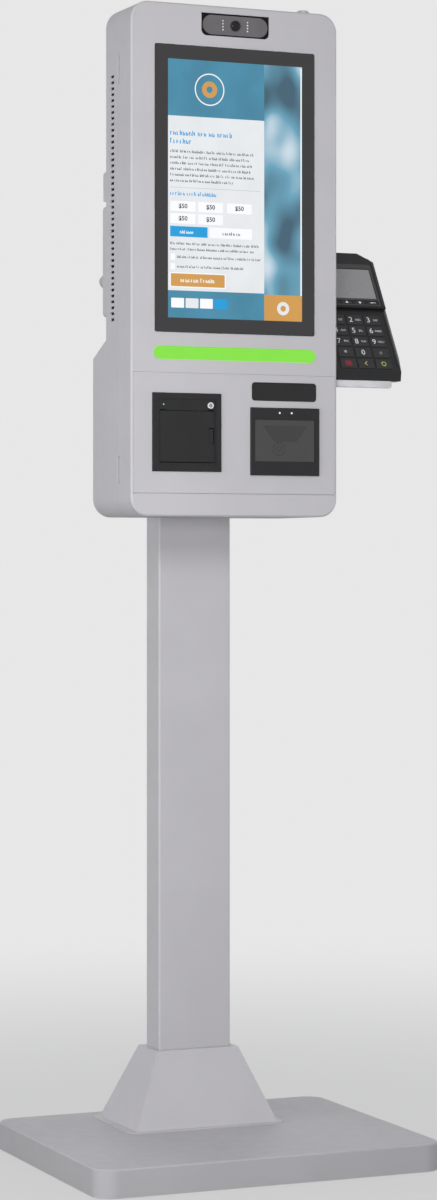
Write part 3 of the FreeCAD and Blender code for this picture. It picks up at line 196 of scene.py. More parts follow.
def away_from_middle(tree, near, far, low, high):
    """Runs from low to high as the floor gets further from the object, in metres."""
    place = tree.nodes.new("ShaderNodeTexCoord")
    reach = add_node(tree, "VectorMath", {0: place.outputs["Object"]}, operation="LENGTH")
    return ranged(tree, reach.outputs["Value"], low, high, near, far,
                  interpolation_type="SMOOTHSTEP")


world = bpy.data.worlds.new("studio_air")
world.use_nodes = True
bpy.context.scene.world = world
air = world.node_tree.nodes["Background"]
wire(world.node_tree, air, {"Color": (0.92, 0.94, 1.0, 1), "Strength": 0.32})
seen_white(world.node_tree, air, world.node_tree.nodes["World Output"])

FLOOR_GREY = (0.38, 0.38, 0.38)
FLOOR_HALF = 12
FADE_NEAR, FADE_FAR = 0.4, 2.6
WHITE_SHARE = 0.62
paper_tree, paper_shader = start_finish("studio_floor", FLOOR_GREY, 0.9)
seen_white(paper_tree, paper_shader, paper_tree.nodes["Material Output"],
           away_from_middle(paper_tree, FADE_NEAR, FADE_FAR, WHITE_SHARE, 1))

floor_shape = bmesh.new()
bmesh.ops.create_grid(floor_shape, x_segments=1, y_segments=1, size=FLOOR_HALF)
floor_mesh = bpy.data.meshes.new("studio_floor")
floor_shape.to_mesh(floor_mesh)
floor_shape.free()
floor_mesh.materials.append(finishes["studio_floor"])
studio_floor = new_object("studio_floor", floor_mesh)

bpy.context.scene.view_settings.view_transform = "Standard"

# %% [markdown]
# A finish is a material that is worked out by nodes, so it has no seams and needs no
# picture file. Each one starts from the same shader, and small helpers add a noise
# that lives in the object's own coordinates. That keeps the grain in its place when
# a part moves. The noise drives the bump, the roughness or a slight change of shade.

# %% Helpers for finishes
def grain(tree, waves, detail=3.0, stretch=(1, 1, 1)):
    """A noise in object coordinates, with so many waves to the metre."""
    place = tree.nodes.new("ShaderNodeTexCoord")
    turn = add_node(tree, "Mapping", {"Vector": place.outputs["Object"], "Scale": stretch})
    noise = add_node(tree, "TexNoise",
                     {"Vector": turn.outputs["Vector"], "Scale": waves, "Detail": detail})
    return noise.outputs["Fac"]


def bumpy(tree, height, depth, strength):
    """Turns a height into a tilt of the surface. The depth is in metres."""
    bump = add_node(tree, "Bump", {"Strength": strength, "Distance": depth, "Height": height})
    return bump.outputs["Normal"]


def shade(color, factor):
    return tuple(channel * factor for channel in color)


def two_shades(tree, color, waves, detail, low, high):
    """Lets a colour drift with a noise between two shades of itself."""
    blend = add_node(tree, "Mix", {
        "Factor": ranged(tree, grain(tree, waves, detail), 0, 1),
        "A": (*shade(color, low), 1),
        "B": (*shade(color, high), 1),
    }, data_type="RGBA")
    return blend.outputs["Result"]

# %% [markdown]
# The steel is powder coated: dry paint is blown on and baked, and it sets with a very
# fine ripple like orange peel. The ripple is a bump of a few hundredths of a
# millimetre. A second, broad noise makes the coat a shade thicker in places. The base
# has the same coat a little darker. That is painted shade, for the dimmer light near
# the floor.

# %% Powder coat
def powder_coat(name, color):
    tree, shader = start_finish(name, color, 0.56)
    wire(tree, shader, {
        "Specular IOR Level": 0.28,
        "Base Color": two_shades(tree, color, 9, 4, 0.975, 1.02),
        "Roughness": ranged(tree, grain(tree, 55), 0.5, 0.62),
        "Normal": bumpy(tree, grain(tree, 1100, 2), 0.00008, 0.5),
    })


PAINT_GREY = (0.53, 0.518, 0.535)
powder_coat("housing_paint", PAINT_GREY)
powder_coat("bracket_paint", shade(PAINT_GREY, 1.04))
# The base's darker coat is painted shade, for the dimmer light near the floor.
powder_coat("base_paint_shaded", shade(PAINT_GREY, 0.86))

# %% [markdown]
# Most of the black parts are moulded with a fine spark-eroded grain, which breaks up
# the highlight. One recipe serves them all: only the colour, the size of the grain
# and the sheen change from part to part.

# %% Moulded plastics
def moulded(name, color, roughness, waves=1500, depth=0.00006, gleam=0.5):
    tree, shader = start_finish(name, color, roughness)
    wire(tree, shader, {
        "Specular IOR Level": gleam,
        "Base Color": two_shades(tree, color, 40, 4, 0.93, 1.08),
        "Roughness": ranged(tree, grain(tree, 260), roughness - 0.05, roughness + 0.07),
        "Normal": bumpy(tree, grain(tree, waves, 2), depth, 0.6),
    })


moulded("cap_plastic", (0.42, 0.42, 0.44), 0.5)
moulded("trim_dark", (0.013, 0.013, 0.014), 0.5, gleam=0.34)
moulded("trim_black", (0.010, 0.010, 0.011), 0.45, gleam=0.36)
# A darker black for the camera's surround. Its extra darkness is painted shade of the recess.
moulded("recess_painted_shade", (0.004, 0.004, 0.004), 0.6, gleam=0.15)
moulded("terminal_plastic", (0.011, 0.011, 0.012), 0.45, gleam=0.32)
moulded("terminal_border", (0.032, 0.032, 0.034), 0.35, depth=0.00001)
moulded("key_plastic", (0.017, 0.017, 0.019), 0.5, waves=2200, gleam=0.4)
moulded("lamp_clear", (0.8, 0.8, 0.82), 0.3)
moulded("camera_grey", (0.125, 0.118, 0.124), 0.42)
# Pale partly as a painted highlight along the shelf's lip.
moulded("edge_pale_highlight", (0.66, 0.66, 0.68), 0.4, depth=0.00002)
moulded("button_white", (0.42, 0.42, 0.43), 0.3, depth=0.00002)
moulded("board_green", (0.02, 0.11, 0.04), 0.4)
moulded("roll_paper", (0.8, 0.8, 0.77), 0.85, waves=700)
moulded("legend_white", (0.78, 0.78, 0.78), 0.5)
moulded("legend_grey", (0.24, 0.24, 0.25), 0.5)
moulded("legend_red", (0.22, 0.008, 0.014), 0.45)
moulded("legend_yellow", (0.62, 0.56, 0.09), 0.45)
moulded("legend_green", (0.36, 0.55, 0.07), 0.45)

# %% [markdown]
# Rubber is matt and a little dusty. Its bump is coarser than that of plastic, and the
# colour varies more, because handled rubber goes grey in patches. Foam looks alike.

# %% Rubber
def soft_rubber(name, color):
    tree, shader = start_finish(name, color, 0.8)
    wire(tree, shader, {
        "Base Color": two_shades(tree, color, 70, 5, 1, 1.7),
        "Normal": bumpy(tree, grain(tree, 600, 3), 0.0001, 0.7),
    })


soft_rubber("floor_rubber", (0.02, 0.02, 0.02))
soft_rubber("platen_rubber", (0.03, 0.03, 0.032))
soft_rubber("dust_foam", (0.008, 0.008, 0.009))

# %% [markdown]
# Bare metals differ in how they were made. Zinc plate is dull and cloudy, brushed
# aluminium has long fine lines in one direction, and a chromed lock is smooth. The
# lines come from a noise that is stretched along X by a small scale on that axis.

# %% Metals
def plated(name, color, roughness):
    tree, shader = start_finish(name, color, roughness, metallic=1.0)
    wire(tree, shader, {
        "Base Color": two_shades(tree, color, 160, 5, 0.82, 1),
        "Roughness": ranged(tree, grain(tree, 420), roughness - 0.08, roughness + 0.1),
    })


def brushed(name, color):
    tree, shader = start_finish(name, color, 0.38, metallic=1.0)
    lines = grain(tree, 900, 3, stretch=(0.04, 1, 1))
    wire(tree, shader, {
        "Roughness": ranged(tree, lines, 0.3, 0.48),
        "Normal": bumpy(tree, lines, 0.00003, 0.5),
    })


plated("zinc_steel", (0.44, 0.45, 0.47), 0.42)
plated("lock_chrome", (0.5, 0.5, 0.52), 0.34)
brushed("module_aluminium", (0.62, 0.62, 0.64))
moulded("ballast_steel", (0.07, 0.07, 0.075), 0.6, waves=500)

# %% [markdown]
# The glass over the display is black from behind, so it can be an opaque gloss with a
# clear coat and needs no real transparency. Pieces of the lit picture lie on it a few
# hundredths of a millimetre proud, and they carry the same gloss, so that picture and
# border read as one sheet of glass. A lit colour is an emission of strength one,
# which renders as the colour is written.

# %% Glass and light
def gloss_glass(name, color, roughness=0.09, gleam=0.5, coat=0.5):
    tree, shader = start_finish(name, color, roughness)
    wire(tree, shader, {
        "Specular IOR Level": gleam,
        "Coat Weight": coat,
        "Coat Roughness": 0.04,
        "Roughness": ranged(tree, grain(tree, 30, 5), roughness, roughness + 0.05),
    })


def lit(name, color, variation=0.04, waves=20):
    """A glowing finish under gloss. The glow changes softly from place to place."""
    tree, shader = start_finish(name, shade(color, 0.12), 0.12)
    wire(tree, shader, {
        "Emission Color": two_shades(tree, color, waves, 3, 1 - variation, 1 + variation),
        "Emission Strength": 1,
    })


gloss_glass("screen_glass", (0.012, 0.010, 0.012))
gloss_glass("lens_glass", (0.003, 0.003, 0.005), 0.06, gleam=0.3, coat=0.1)
gloss_glass("window_dark", (0.031, 0.031, 0.032), 0.2)
gloss_glass("window_deep", (0.017, 0.017, 0.018), 0.2)
gloss_glass("panel_grey", (0.27, 0.265, 0.275), 0.25)
lit("light_green", (0.20, 0.66, 0.045), 0.03)
lit("spot_green", (0.38, 0.72, 0.27))
lit("spot_white", (0.85, 0.85, 0.85))

# %% [markdown]
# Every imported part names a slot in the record, and the finish for it is kept under the
# same name. Two slots borrow a finish of another name. A part for which there is none
# stops the script.

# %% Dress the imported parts
finishes["board_plastic"] = finishes["board_green"]
finishes["paper"] = finishes["roll_paper"]
for part in frame["record"]["subparts"]:
    node = nodes[part["node"]]
    node.data.materials.clear()
    node.data.materials.append(finishes[part["material_slot"]])
# The base takes the darker coat, which is painted shade.
nodes["base_cover"].data.materials[0] = finishes["base_paint_shaded"]
# The camera surround takes the darker black, which paints the shade of its recess.
nodes["camera_surround"].data.materials[0] = finishes["recess_painted_shade"]
print("finishes:", len(finishes))

# %% [markdown]
# The solid model leaves out what is too small for it: screws, lamps, legends and the
# picture on the screen. Each of these becomes a piece of its own. Every piece is drawn
# lying on the XY plane in millimetres, then turned and moved onto the part that carries
# it, because flat work is easy to read. A closed mesh shades well and can be printed,
# so the helper stops when an edge is open.

# %% Helpers for pieces
def finish_piece(shape, name, place, body, slot, finish=None, crease=35):
    """Puts a shape in its place and parents it to the empty of a body, as a piece. Where
    no finish is named, it gets the one of its slot."""
    bmesh.ops.transform(shape, matrix=place, verts=shape.verts)
    if any(len(edge.link_faces) != 2 for edge in shape.edges):
        raise ValueError(name + " has an open edge")
    bmesh.ops.recalc_face_normals(shape, faces=shape.faces)
    mesh = bpy.data.meshes.new(name)
    shape.to_mesh(mesh)
    print(name, "on", body, "with", len(shape.faces), "faces")
    shape.free()
    mesh.shade_smooth()
    mesh.set_sharp_from_angle(angle=math.radians(crease))
    mesh.materials.append(finishes[finish or slot])
    piece = new_object(name, mesh)
    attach(piece, body)
    return piece


def add_block(shape, left, right, low, high, thick, base=0.0, corner=0.0):
    """Adds a closed block, with its four upright edges rounded by corner."""
    centre = Vector(((left + right) / 2, (low + high) / 2, base + thick / 2)) * MM
    size = Vector((right - left, high - low, thick)) * MM
    made = bmesh.ops.create_cube(shape, size=1, matrix=Matrix.LocRotScale(centre, None, size))
    if corner:
        edges = {edge for vertex in made["verts"] for edge in vertex.link_edges}
        upright = [edge for edge in edges
                   if abs(edge.verts[0].co.z - edge.verts[1].co.z) > thick * MM / 2]
        bmesh.ops.bevel(shape, geom=upright, offset=corner * MM, segments=4,
                        profile=0.5, affect="EDGES", material=-1)


def block(*sizes):
    """A new shape of one block, with the same sizes as above."""
    shape = bmesh.new()
    add_block(shape, *sizes)
    return shape


def at(x, y, z=0.0):
    """A move in millimetres."""
    return Matrix.Translation(Vector((x, y, z)) * MM)


def facing_front(depth):
    """Lays flat work on a face that looks to the front. Its y becomes the height."""
    return Matrix.Translation((0, depth, 0)) @ Matrix.Rotation(math.pi / 2, 4, "X")

# %% [markdown]
# The screen shows a plain donation page. A real one is a picture, but this part uses
# no picture files, so the page is built like a paper collage: thin sheets lie on the
# glass in layers of a twentieth of a millimetre, and each glows in its own colour.
# Colours are noted as a screen shows them and turned into the shader's linear ones.

# %% Colours of the page
def screen_color(red, green, blue):
    """Turns levels from 0 to 255 into the linear colour of a shader."""
    return tuple((level / 255) ** 2.2 for level in (red, green, blue))


def glowing(name, levels, variation=0.04, waves=20):
    lit(name, shade(screen_color(*levels), 0.9), variation, waves)


glowing("page_teal", (66, 132, 160), 0.12, 14)
glowing("page_pale", (228, 231, 234), 0.03, 25)
glowing("page_white", (247, 248, 250), 0.01)
glowing("page_blue", (12, 152, 214))
glowing("page_orange", (206, 151, 76))
glowing("page_ink", (66, 70, 76))
glowing("page_black", (18, 20, 24))
glowing("page_rule", (186, 190, 194))

# %% [markdown]
# Beside the text runs a strip with a soft, out-of-focus view in blues. It stands for no
# real place. Noise that is squeezed upright gives blurred level bands, and a colour
# ramp turns the noise into deep teal, mid blue and near white.

# %% Soft strip
def soft_view(name):
    tree, shader = start_finish(name, (0.02, 0.03, 0.035), 0.12)
    ramp = add_node(tree, "ValToRGB", {"Fac": grain(tree, 17, 1, stretch=(1, 1, 0.8))})
    stops = ramp.color_ramp.elements
    stops[0].position = 0.34
    stops[0].color = (*screen_color(48, 84, 104), 1)
    stops[1].position = 0.66
    stops[1].color = (*screen_color(222, 234, 242), 1)
    stops.new(0.5).color = (*screen_color(96, 158, 184), 1)
    wire(tree, shader, {"Emission Color": ramp.outputs["Color"], "Emission Strength": 0.92})


soft_view("page_view")

# %% [markdown]
# The page's large areas come first. All of its measures are in the screen's own
# millimetres: x is 0 in the middle of the head, and y is the height above the floor.

# %% Areas of the page
LAYER = 0.05
on_glass = facing_front(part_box("touch_glass")[0][1])
PAGE_LEFT, PAGE_RIGHT = -98, 98
PAGE_LOW, PAGE_HIGH = 1137.2, 1481.4
COLUMN_RIGHT = 42
HEADER_LOW = 1405.8
FOOTER_HIGH = 1173.4
SQUARE_HIGH = 1172
TEXT_LEFT = -95


def lay_on_page(shape, name, finish, place=Matrix()):
    finish_piece(shape, name, on_glass @ place, "front_door", "screen_glass", finish)


def page_sheet(name, left, right, low, high, finish, layer=1, corner=0.0):
    """A glowing sheet on the glass, in the given layer."""
    lay_on_page(block(left, right, low, high, LAYER, (layer - 1) * LAYER, corner), name, finish)


page_sheet("page_header", PAGE_LEFT, COLUMN_RIGHT, HEADER_LOW, PAGE_HIGH, "page_teal")
page_sheet("page_field", PAGE_LEFT, COLUMN_RIGHT, FOOTER_HIGH, HEADER_LOW, "page_pale")
page_sheet("page_footer", PAGE_LEFT, COLUMN_RIGHT, PAGE_LOW, FOOTER_HIGH, "page_teal")
page_sheet("page_strip", COLUMN_RIGHT, PAGE_RIGHT, SQUARE_HIGH, PAGE_HIGH, "page_view")
page_sheet("page_square", COLUMN_RIGHT, PAGE_RIGHT, PAGE_LOW, SQUARE_HIGH, "page_orange")
page_sheet("page_edge", 95.7, 97.6, SQUARE_HIGH, PAGE_HIGH - 2, "page_white", layer=2)
page_sheet("page_line", TEXT_LEFT, COLUMN_RIGHT - 6, 1310.2, 1310.8, "page_rule", layer=2)
print("page in millimetres:", PAGE_RIGHT - PAGE_LEFT, round(PAGE_HIGH - PAGE_LOW, 1))

# %% [markdown]
# The header has a plain ring with a disc, the commonest of signs, and nothing else.
# The square at the foot has the same ring in white. Round pieces are spun as on a
# lathe: a few points are joined by edges and turned about Z, so one helper serves the
# rings here and the lenses, lamps and locks further on.

# %% Ring and disc
def spun(profile, steps=28):
    """Turns points of radius and height about Z. A profile off the axis makes a ring."""
    shape = bmesh.new()
    spots = [shape.verts.new((radius * MM, 0, height * MM)) for radius, height in profile]
    runs = list(zip(spots, spots[1:]))
    if profile[0][0] > 0:
        runs.append((spots[-1], spots[0]))
    edges = [shape.edges.new(run) for run in runs]
    bmesh.ops.spin(shape, geom=spots + edges, cent=(0, 0, 0), axis=(0, 0, 1),
                   angle=math.tau, steps=steps, use_merge=True)
    bmesh.ops.remove_doubles(shape, verts=shape.verts, dist=1e-7)
    return shape


def page_ring(name, x, y, inner, outer, finish):
    shape = spun([(inner, LAYER), (outer, LAYER), (outer, LAYER * 2), (inner, LAYER * 2)], 48)
    lay_on_page(shape, name, finish, at(x, y))


page_ring("page_header_ring", -38, 1443, 20, 21.5, "page_white")
page_ring("page_header_disc", -38, 1443, 4.5, 11, "page_orange")
page_ring("page_square_ring", 70, 1154, 4, 9, "page_pale")

# %% [markdown]
# Text too small to read still has a texture that the eye knows: words of uneven length
# with a few tall letters. Signs of two or three strokes give that texture, and none of
# them is a letter, so the page has no words. A seeded dice makes the same page every
# time.

# %% Lines of text
STROKE, LETTER_GAP, WORD_GAP = 0.19, 0.16, 0.42


def add_letter(shape, left, base, wide, high, stroke, dice):
    """A letter-like sign: one upright stroke, a cross stroke, and often a second upright."""
    add_block(shape, left, left + stroke, base, base + high, LAYER, LAYER)
    level = base + dice.choice((0, 0.5, 1)) * (high - stroke)
    add_block(shape, left + stroke, left + wide, level, level + stroke, LAYER, LAYER)
    if dice.random() < 0.6:
        add_block(shape, left + wide, left + wide + stroke, base, base + high * 0.7,
                  LAYER, LAYER)


def add_words(shape, left, right, base, tall, dice):
    """Fills a line with letter-like signs in groups, as words would."""
    stroke = tall * STROKE
    place = left
    while place < right - tall:
        for _ in range(dice.randint(2, 8)):
            wide = tall * dice.uniform(0.26, 0.4)
            high = tall * dice.choice((0.72, 0.72, 1.0))
            if place + wide + stroke < right:
                add_letter(shape, place, base, wide, high, stroke, dice)
            place += wide + stroke + tall * LETTER_GAP
        place += tall * WORD_GAP


def page_text(name, lines, tall, finish, layer=2):
    """Lines are given as left edge, right edge and height above the floor."""
    dice = random.Random(name)
    shape = bmesh.new()
    for left, right, base in lines:
        add_words(shape, left, right, base, tall, dice)
    lay_on_page(shape, name, finish, at(0, 0, (layer - 2) * LAYER))


page_text("page_title", [(TEXT_LEFT, -4, 1380), (TEXT_LEFT, -57, 1369)], 6.8, "page_blue")
story = [(TEXT_LEFT, right, 1357 - 7.8 * row)
         for row, right in enumerate((26, 22, 25, 24, 27, 2))]
page_text("page_story", story, 3.7, "page_ink")
page_text("page_heading", [(TEXT_LEFT, -21, 1300)], 5.2, "page_blue")
page_text("page_note", [(TEXT_LEFT, 35, 1234.4), (TEXT_LEFT, 28, 1227)], 3.4, "page_ink")
page_text("page_choices", [(-85, 37, 1216.6), (-85, 16, 1203.8)], 3.4, "page_ink")

# %% [markdown]
# The amounts are white buttons with a number, so here real digits are set. Blender's
# text object makes them, and it is turned into a closed mesh before it is placed. All
# five numbers are joined into one shape, because they are one piece of the page.

# %% Numbers
def join(shape, other, place):
    """Adds another shape to a shape, at a place, and frees the other."""
    bmesh.ops.transform(other, matrix=place, verts=other.verts)
    spare = bpy.data.meshes.new("spare")
    other.to_mesh(spare)
    other.free()
    shape.from_mesh(spare)
    bpy.data.meshes.remove(spare)


def lettering(words, tall, thick, weight=0.0):
    """Letters on the XY plane, with their middle at the origin. Weight makes them bold."""
    curve = bpy.data.curves.new("letters", "FONT")
    curve.body = words
    curve.size = tall * MM
    curve.extrude = thick * MM / 2
    curve.offset = tall * weight * MM
    curve.resolution_u = 3
    curve.align_x = "CENTER"
    curve.align_y = "CENTER"
    holder = bpy.data.objects.new("letters", curve)
    mesh = bpy.data.meshes.new_from_object(holder)
    shape = bmesh.new()
    shape.from_mesh(mesh)
    bmesh.ops.remove_doubles(shape, verts=shape.verts, dist=1e-7)
    bmesh.ops.translate(shape, vec=(0, 0, thick * MM / 2), verts=shape.verts)
    bpy.data.objects.remove(holder)
    bpy.data.curves.remove(curve)
    bpy.data.meshes.remove(mesh)
    return shape


AMOUNT_WIDE, AMOUNT_TALL = 36, 13.4
amounts = bmesh.new()
digits = bmesh.new()
for low, lefts in ((1279, (-94.5, -54.5, -12.5)), (1262.6, (-94.5, -54.5))):
    for left in lefts:
        add_block(amounts, left, left + AMOUNT_WIDE, low, low + AMOUNT_TALL, LAYER, LAYER, 0.8)
        spot = at(left + AMOUNT_WIDE / 2, low + AMOUNT_TALL / 2, LAYER * 2)
        join(digits, lettering("$50", 8.4, LAYER, 0.018), spot)
lay_on_page(amounts, "page_amounts", "page_white")
lay_on_page(digits, "page_digits", "page_black")

# %% [markdown]
# Below the amounts are a pair of switches, two tick boxes, the large button and four
# blank cards in the footer. They are sheets again, with a row of blocks for each word.

# %% Switches, boxes and cards
SWITCH_LOW, SWITCH_HIGH = 1245, 1259
WORD_BASE = 1249.4
page_sheet("page_switch_on", TEXT_LEFT, -41, SWITCH_LOW, SWITCH_HIGH, "page_blue", layer=2)
page_sheet("page_switch_off", -38, 24, SWITCH_LOW, SWITCH_HIGH, "page_white", layer=2)
page_sheet("page_give_rim", -95.5, -14.5, 1177.6, 1197.4, "page_white", layer=2, corner=1.5)
page_sheet("page_give", -94, -16, 1179, 1196, "page_orange", layer=3, corner=1)
page_text("page_switch_on_word", [(-81, -54, WORD_BASE)], 4.4, "page_white", layer=3)
page_text("page_switch_off_word", [(-19, 7, WORD_BASE)], 4.4, "page_black", layer=3)
page_text("page_give_word", [(-80, -28, 1184.6)], 5.6, "page_white", layer=4)

BOX_LEFT, BOX_RIGHT, BOX_TALL = -94.2, -88, 8.4
boxes = bmesh.new()
for low in (1214, 1201):
    add_block(boxes, BOX_LEFT, BOX_RIGHT, low, low + BOX_TALL, LAYER, LAYER, 0.6)
lay_on_page(boxes, "page_boxes", "page_white")

CARD_LEFT, CARD_WIDE, CARD_STEP = -93.5, 18.6, 20.8
CARD_LOW, CARD_HIGH = 1150.5, 1163.5
for place, finish in enumerate(("page_white", "page_pale", "page_white", "page_blue")):
    left = CARD_LEFT + CARD_STEP * place
    page_sheet("page_card_" + str(place + 1), left, left + CARD_WIDE, CARD_LOW, CARD_HIGH,
               finish, layer=2, corner=1)

# %% [markdown]
# The camera sits in a grey face plate. A real lens is a polished dome in a black
# barrel, so a spun ring and a spun dome stand on the flat lens of the solid model.
# Eight small lamps stand beside it in two rows of four, for light in a dark hall.

# %% Camera pieces
def dome(radius, height, steps=20):
    """A shallow dome that stands on the XY plane."""
    rise = [(radius * math.cos(turn), height * math.sin(turn))
            for turn in (math.pi / 8 * i for i in range(4))]
    return spun([(0, 0), *rise, (0, height)], steps)


def ring(inner, outer, height):
    """A ring with a rounded crown."""
    shoulder = height * 0.6
    return spun([(inner, 0), (outer, 0), (outer, shoulder), ((inner + outer) / 2, height),
                 (inner, shoulder)], 36)


def middle(box):
    """The middle of a part's box in millimetres: x, y and z."""
    return [(low + high) / 2 / MM for low, high in zip(*box)]


def front_middle(node):
    """Lays flat work on the middle of a part's front face."""
    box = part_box(node)
    x, _, z = middle(box)
    return facing_front(box[0][1]) @ at(x, z)


on_lens = front_middle("camera_lens")
finish_piece(dome(5.4, 1.1, 28), "camera_dome", on_lens, "front_door", "lens_glass")
finish_piece(ring(5.6, 7.2, 0.9), "camera_ring", on_lens, "front_door", "camera_grey",
             "trim_dark")

LAMPS_ASIDE, LAMP_STEP = 18, 4
lens_x, _, lens_z = middle(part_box("camera_lens"))
camera_lamps = bmesh.new()
for side in (-1, 1):
    for step in (-1.5, -0.5, 0.5, 1.5):
        join(camera_lamps, dome(1.05, 0.4, 12),
             at(lens_x + LAMPS_ASIDE * side, lens_z + LAMP_STEP * step))
finish_piece(camera_lamps, "camera_lamps", facing_front(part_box("camera_faceplate")[0][1]),
             "front_door", "camera_grey", "lamp_clear")

# %% [markdown]
# The name plate stays bare. Its face lies in a slim raised frame with rounded corners,
# as moulded plates have. The frame is a block whose face is inset and pushed in.

# %% Frame of the name plate
def sink_top(shape, rim, deep):
    """Insets the top face and pushes it in, which leaves a rim."""
    top = max(shape.faces, key=lambda face: face.calc_center_median().z)
    bmesh.ops.inset_region(shape, faces=[top], thickness=rim * MM, depth=0,
                           use_even_offset=True)
    bmesh.ops.translate(shape, vec=(0, 0, -deep * MM), verts=top.verts)


PLATE_MARGIN = 0.4
PLATE_RIM = 1.1
PLATE_THICK = 0.35
PLATE_CORNER = 4.6
plate_low, plate_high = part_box("name_plate")
plate_half_wide = (plate_high[0] - plate_low[0]) / MM / 2 - PLATE_MARGIN
plate_half_tall = (plate_high[2] - plate_low[2]) / MM / 2 - PLATE_MARGIN
plate = block(-plate_half_wide, plate_half_wide, -plate_half_tall, plate_half_tall,
              PLATE_THICK, 0, PLATE_CORNER)
sink_top(plate, PLATE_RIM, PLATE_THICK * 0.6)
finish_piece(plate, "name_plate_frame", front_middle("name_plate"), "front_door",
             "trim_black", crease=25)

# %% [markdown]
# The printer shows a small green lamp, and its button has a bright rim round a darker
# ring. They are spun shapes again. The lamp stands on the printer's face, which lies a
# millimetre behind its rim, and the rings ride on the button.

# %% Printer lamp and button
RIM_PROUD = 1
LAMP_PLACE = (-104.9, 1021.5)
on_printer = facing_front(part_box("printer_frame")[0][1] + RIM_PROUD * MM)
lamp_spot = on_printer @ at(*LAMP_PLACE)
finish_piece(dome(1.0, 0.6, 14), "printer_lamp", lamp_spot, "front_door", "light_green",
             "spot_green")
finish_piece(ring(1.1, 2.0, 0.3), "printer_lamp_ring", lamp_spot, "front_door", "trim_dark")

on_button = front_middle("printer_feed_button")
finish_piece(ring(3.0, 4.1, 0.5), "feed_button_ring", on_button, "feed_button",
             "button_white", "lamp_clear")
finish_piece(ring(1.0, 2.0, 0.3), "feed_button_mark", on_button, "feed_button",
             "button_white", "camera_grey")

# %% [markdown]
# The paper comes out of a slot over the lid, where a toothed bar tears it off. The bar
# is a strip of squares: every second corner of its lower edge is lifted, which leaves
# teeth, and the flat strip is then made thick.

# %% Tear bar
def thicken(shape, thick):
    """Extrudes flat faces upwards, so that they become a closed plate."""
    grown = bmesh.ops.extrude_face_region(shape, geom=shape.faces[:])
    lifted = [item for item in grown["geom"] if isinstance(item, bmesh.types.BMVert)]
    bmesh.ops.translate(shape, vec=(0, 0, thick * MM), verts=lifted)


def tear_bar(left, right, low, high, thick, teeth):
    """A bar whose lower edge is cut into teeth, made from a strip of squares."""
    shape = bmesh.new()
    bmesh.ops.create_grid(shape, x_segments=teeth * 2, y_segments=1, size=0.5)
    bmesh.ops.scale(shape, vec=((right - left) * MM, (high - low) * MM, 1), verts=shape.verts)
    lower = sorted((vertex for vertex in shape.verts if vertex.co.y < 0),
                   key=lambda vertex: vertex.co.x)
    for vertex in lower[1::2]:
        vertex.co.y += (high - low) * MM * 0.5
    thicken(shape, thick)
    bmesh.ops.translate(shape, vec=Vector((left + right, low + high, 0)) * MM / 2,
                        verts=shape.verts)
    return shape


BAR_LEFT, BAR_RIGHT = -101, -41
BAR_LOW, BAR_HIGH = 1013.4, 1015.2
TEETH = 30
bar = tear_bar(BAR_LEFT, BAR_RIGHT, BAR_LOW, BAR_HIGH, 0.5, TEETH)
finish_piece(bar, "printer_tear_bar", on_printer, "front_door", "trim_dark")

# %% [markdown]
# The scanner looks out through a dark window. Two white lamps shine above it, and
# behind the glass a funnel and a round lens can just be made out. As the glass is a
# solid gloss here, they are thin shapes on it in a slightly different shade.

# %% Scanner pieces
LAMP_LEFT, LAMP_RIGHT, LAMP_HIGH = 63.5, 81.2, 1013
scanner_lamps = bmesh.new()
for x in (LAMP_LEFT, LAMP_RIGHT):
    join(scanner_lamps, dome(1.35, 0.5, 16), at(x, LAMP_HIGH))
finish_piece(scanner_lamps, "scanner_lamps", facing_front(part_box("scanner_housing")[0][1]),
             "front_door", "window_dark", "spot_white")

FUNNEL_LEFT, FUNNEL_RIGHT = 38.8, 104.8
FUNNEL_LOW, FUNNEL_HIGH = 974, 996
FUNNEL_TAPER = 16.6
LENS_PLACE = (62.9, 964.5)
on_window = facing_front(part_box("scanner_window")[0][1])
funnel = block(FUNNEL_LEFT, FUNNEL_RIGHT, FUNNEL_LOW, FUNNEL_HIGH, LAYER)
for vertex in funnel.verts:
    if vertex.co.y < (FUNNEL_LOW + 1) * MM:
        inwards = 1 if vertex.co.x < (FUNNEL_LEFT + 1) * MM else -1
        vertex.co.x += inwards * FUNNEL_TAPER * MM
finish_piece(funnel, "scanner_funnel", on_window, "front_door", "window_dark", "window_deep")
for name, inner, outer in (("scanner_lens_ring", 7.6, 9.5), ("scanner_lens", 2.6, 4.4)):
    finish_piece(ring(inner, outer, 0.12), name, on_window @ at(*LENS_PLACE), "front_door",
                 "window_dark", "window_deep")

# %% [markdown]
# The card terminal leans back, so its keys face up towards the hand. A frame of axes
# that leans with it keeps the legends simple: x runs across the keys, y up the face and
# z out of it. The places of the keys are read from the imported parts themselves.

# %% Axes of the terminal
TERMINAL_LEAN = math.radians(59)
case_low, case_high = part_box("terminal_case")
terminal_axes = (Matrix.Translation(((case_low[0] + case_high[0]) / 2, case_low[1], case_low[2]))
                 @ Matrix.Rotation(TERMINAL_LEAN, 4, "X"))


def on_face(node):
    """Low and high corners of a part in the terminal's own axes, in millimetres."""
    spots = [terminal_axes.inverted() @ vertex.co / MM for vertex in nodes[node].data.vertices]
    low = Vector([min(spot[axis] for spot in spots) for axis in range(3)])
    high = Vector([max(spot[axis] for spot in spots) for axis in range(3)])
    return low, high


key_low, key_high = on_face("key_5")
print("key size:", [round(value, 1) for value in key_high - key_low])

# %% [markdown]
# Legends are printed on the keys. Printed ink has almost no thickness, so each legend is
# a letter mesh less than a tenth of a millimetre high that rides on its own key. A digit
# stands on the left of its key and the small letters on the right, as on a telephone.

# %% Digits and letters
INK = 0.08


def key_legend(key, part, shape, across=0.0, finish="legend_white", up=0.0):
    """Puts a legend on a key. Across runs from -1 at its left edge to 1 at its right."""
    low, high = on_face(key)
    x = (low.x + high.x) / 2 + across * (high.x - low.x) / 2
    place = terminal_axes @ at(x, (low.y + high.y) / 2 + up, high.z)
    finish_piece(shape, key + part, place, key, "key_plastic", finish)


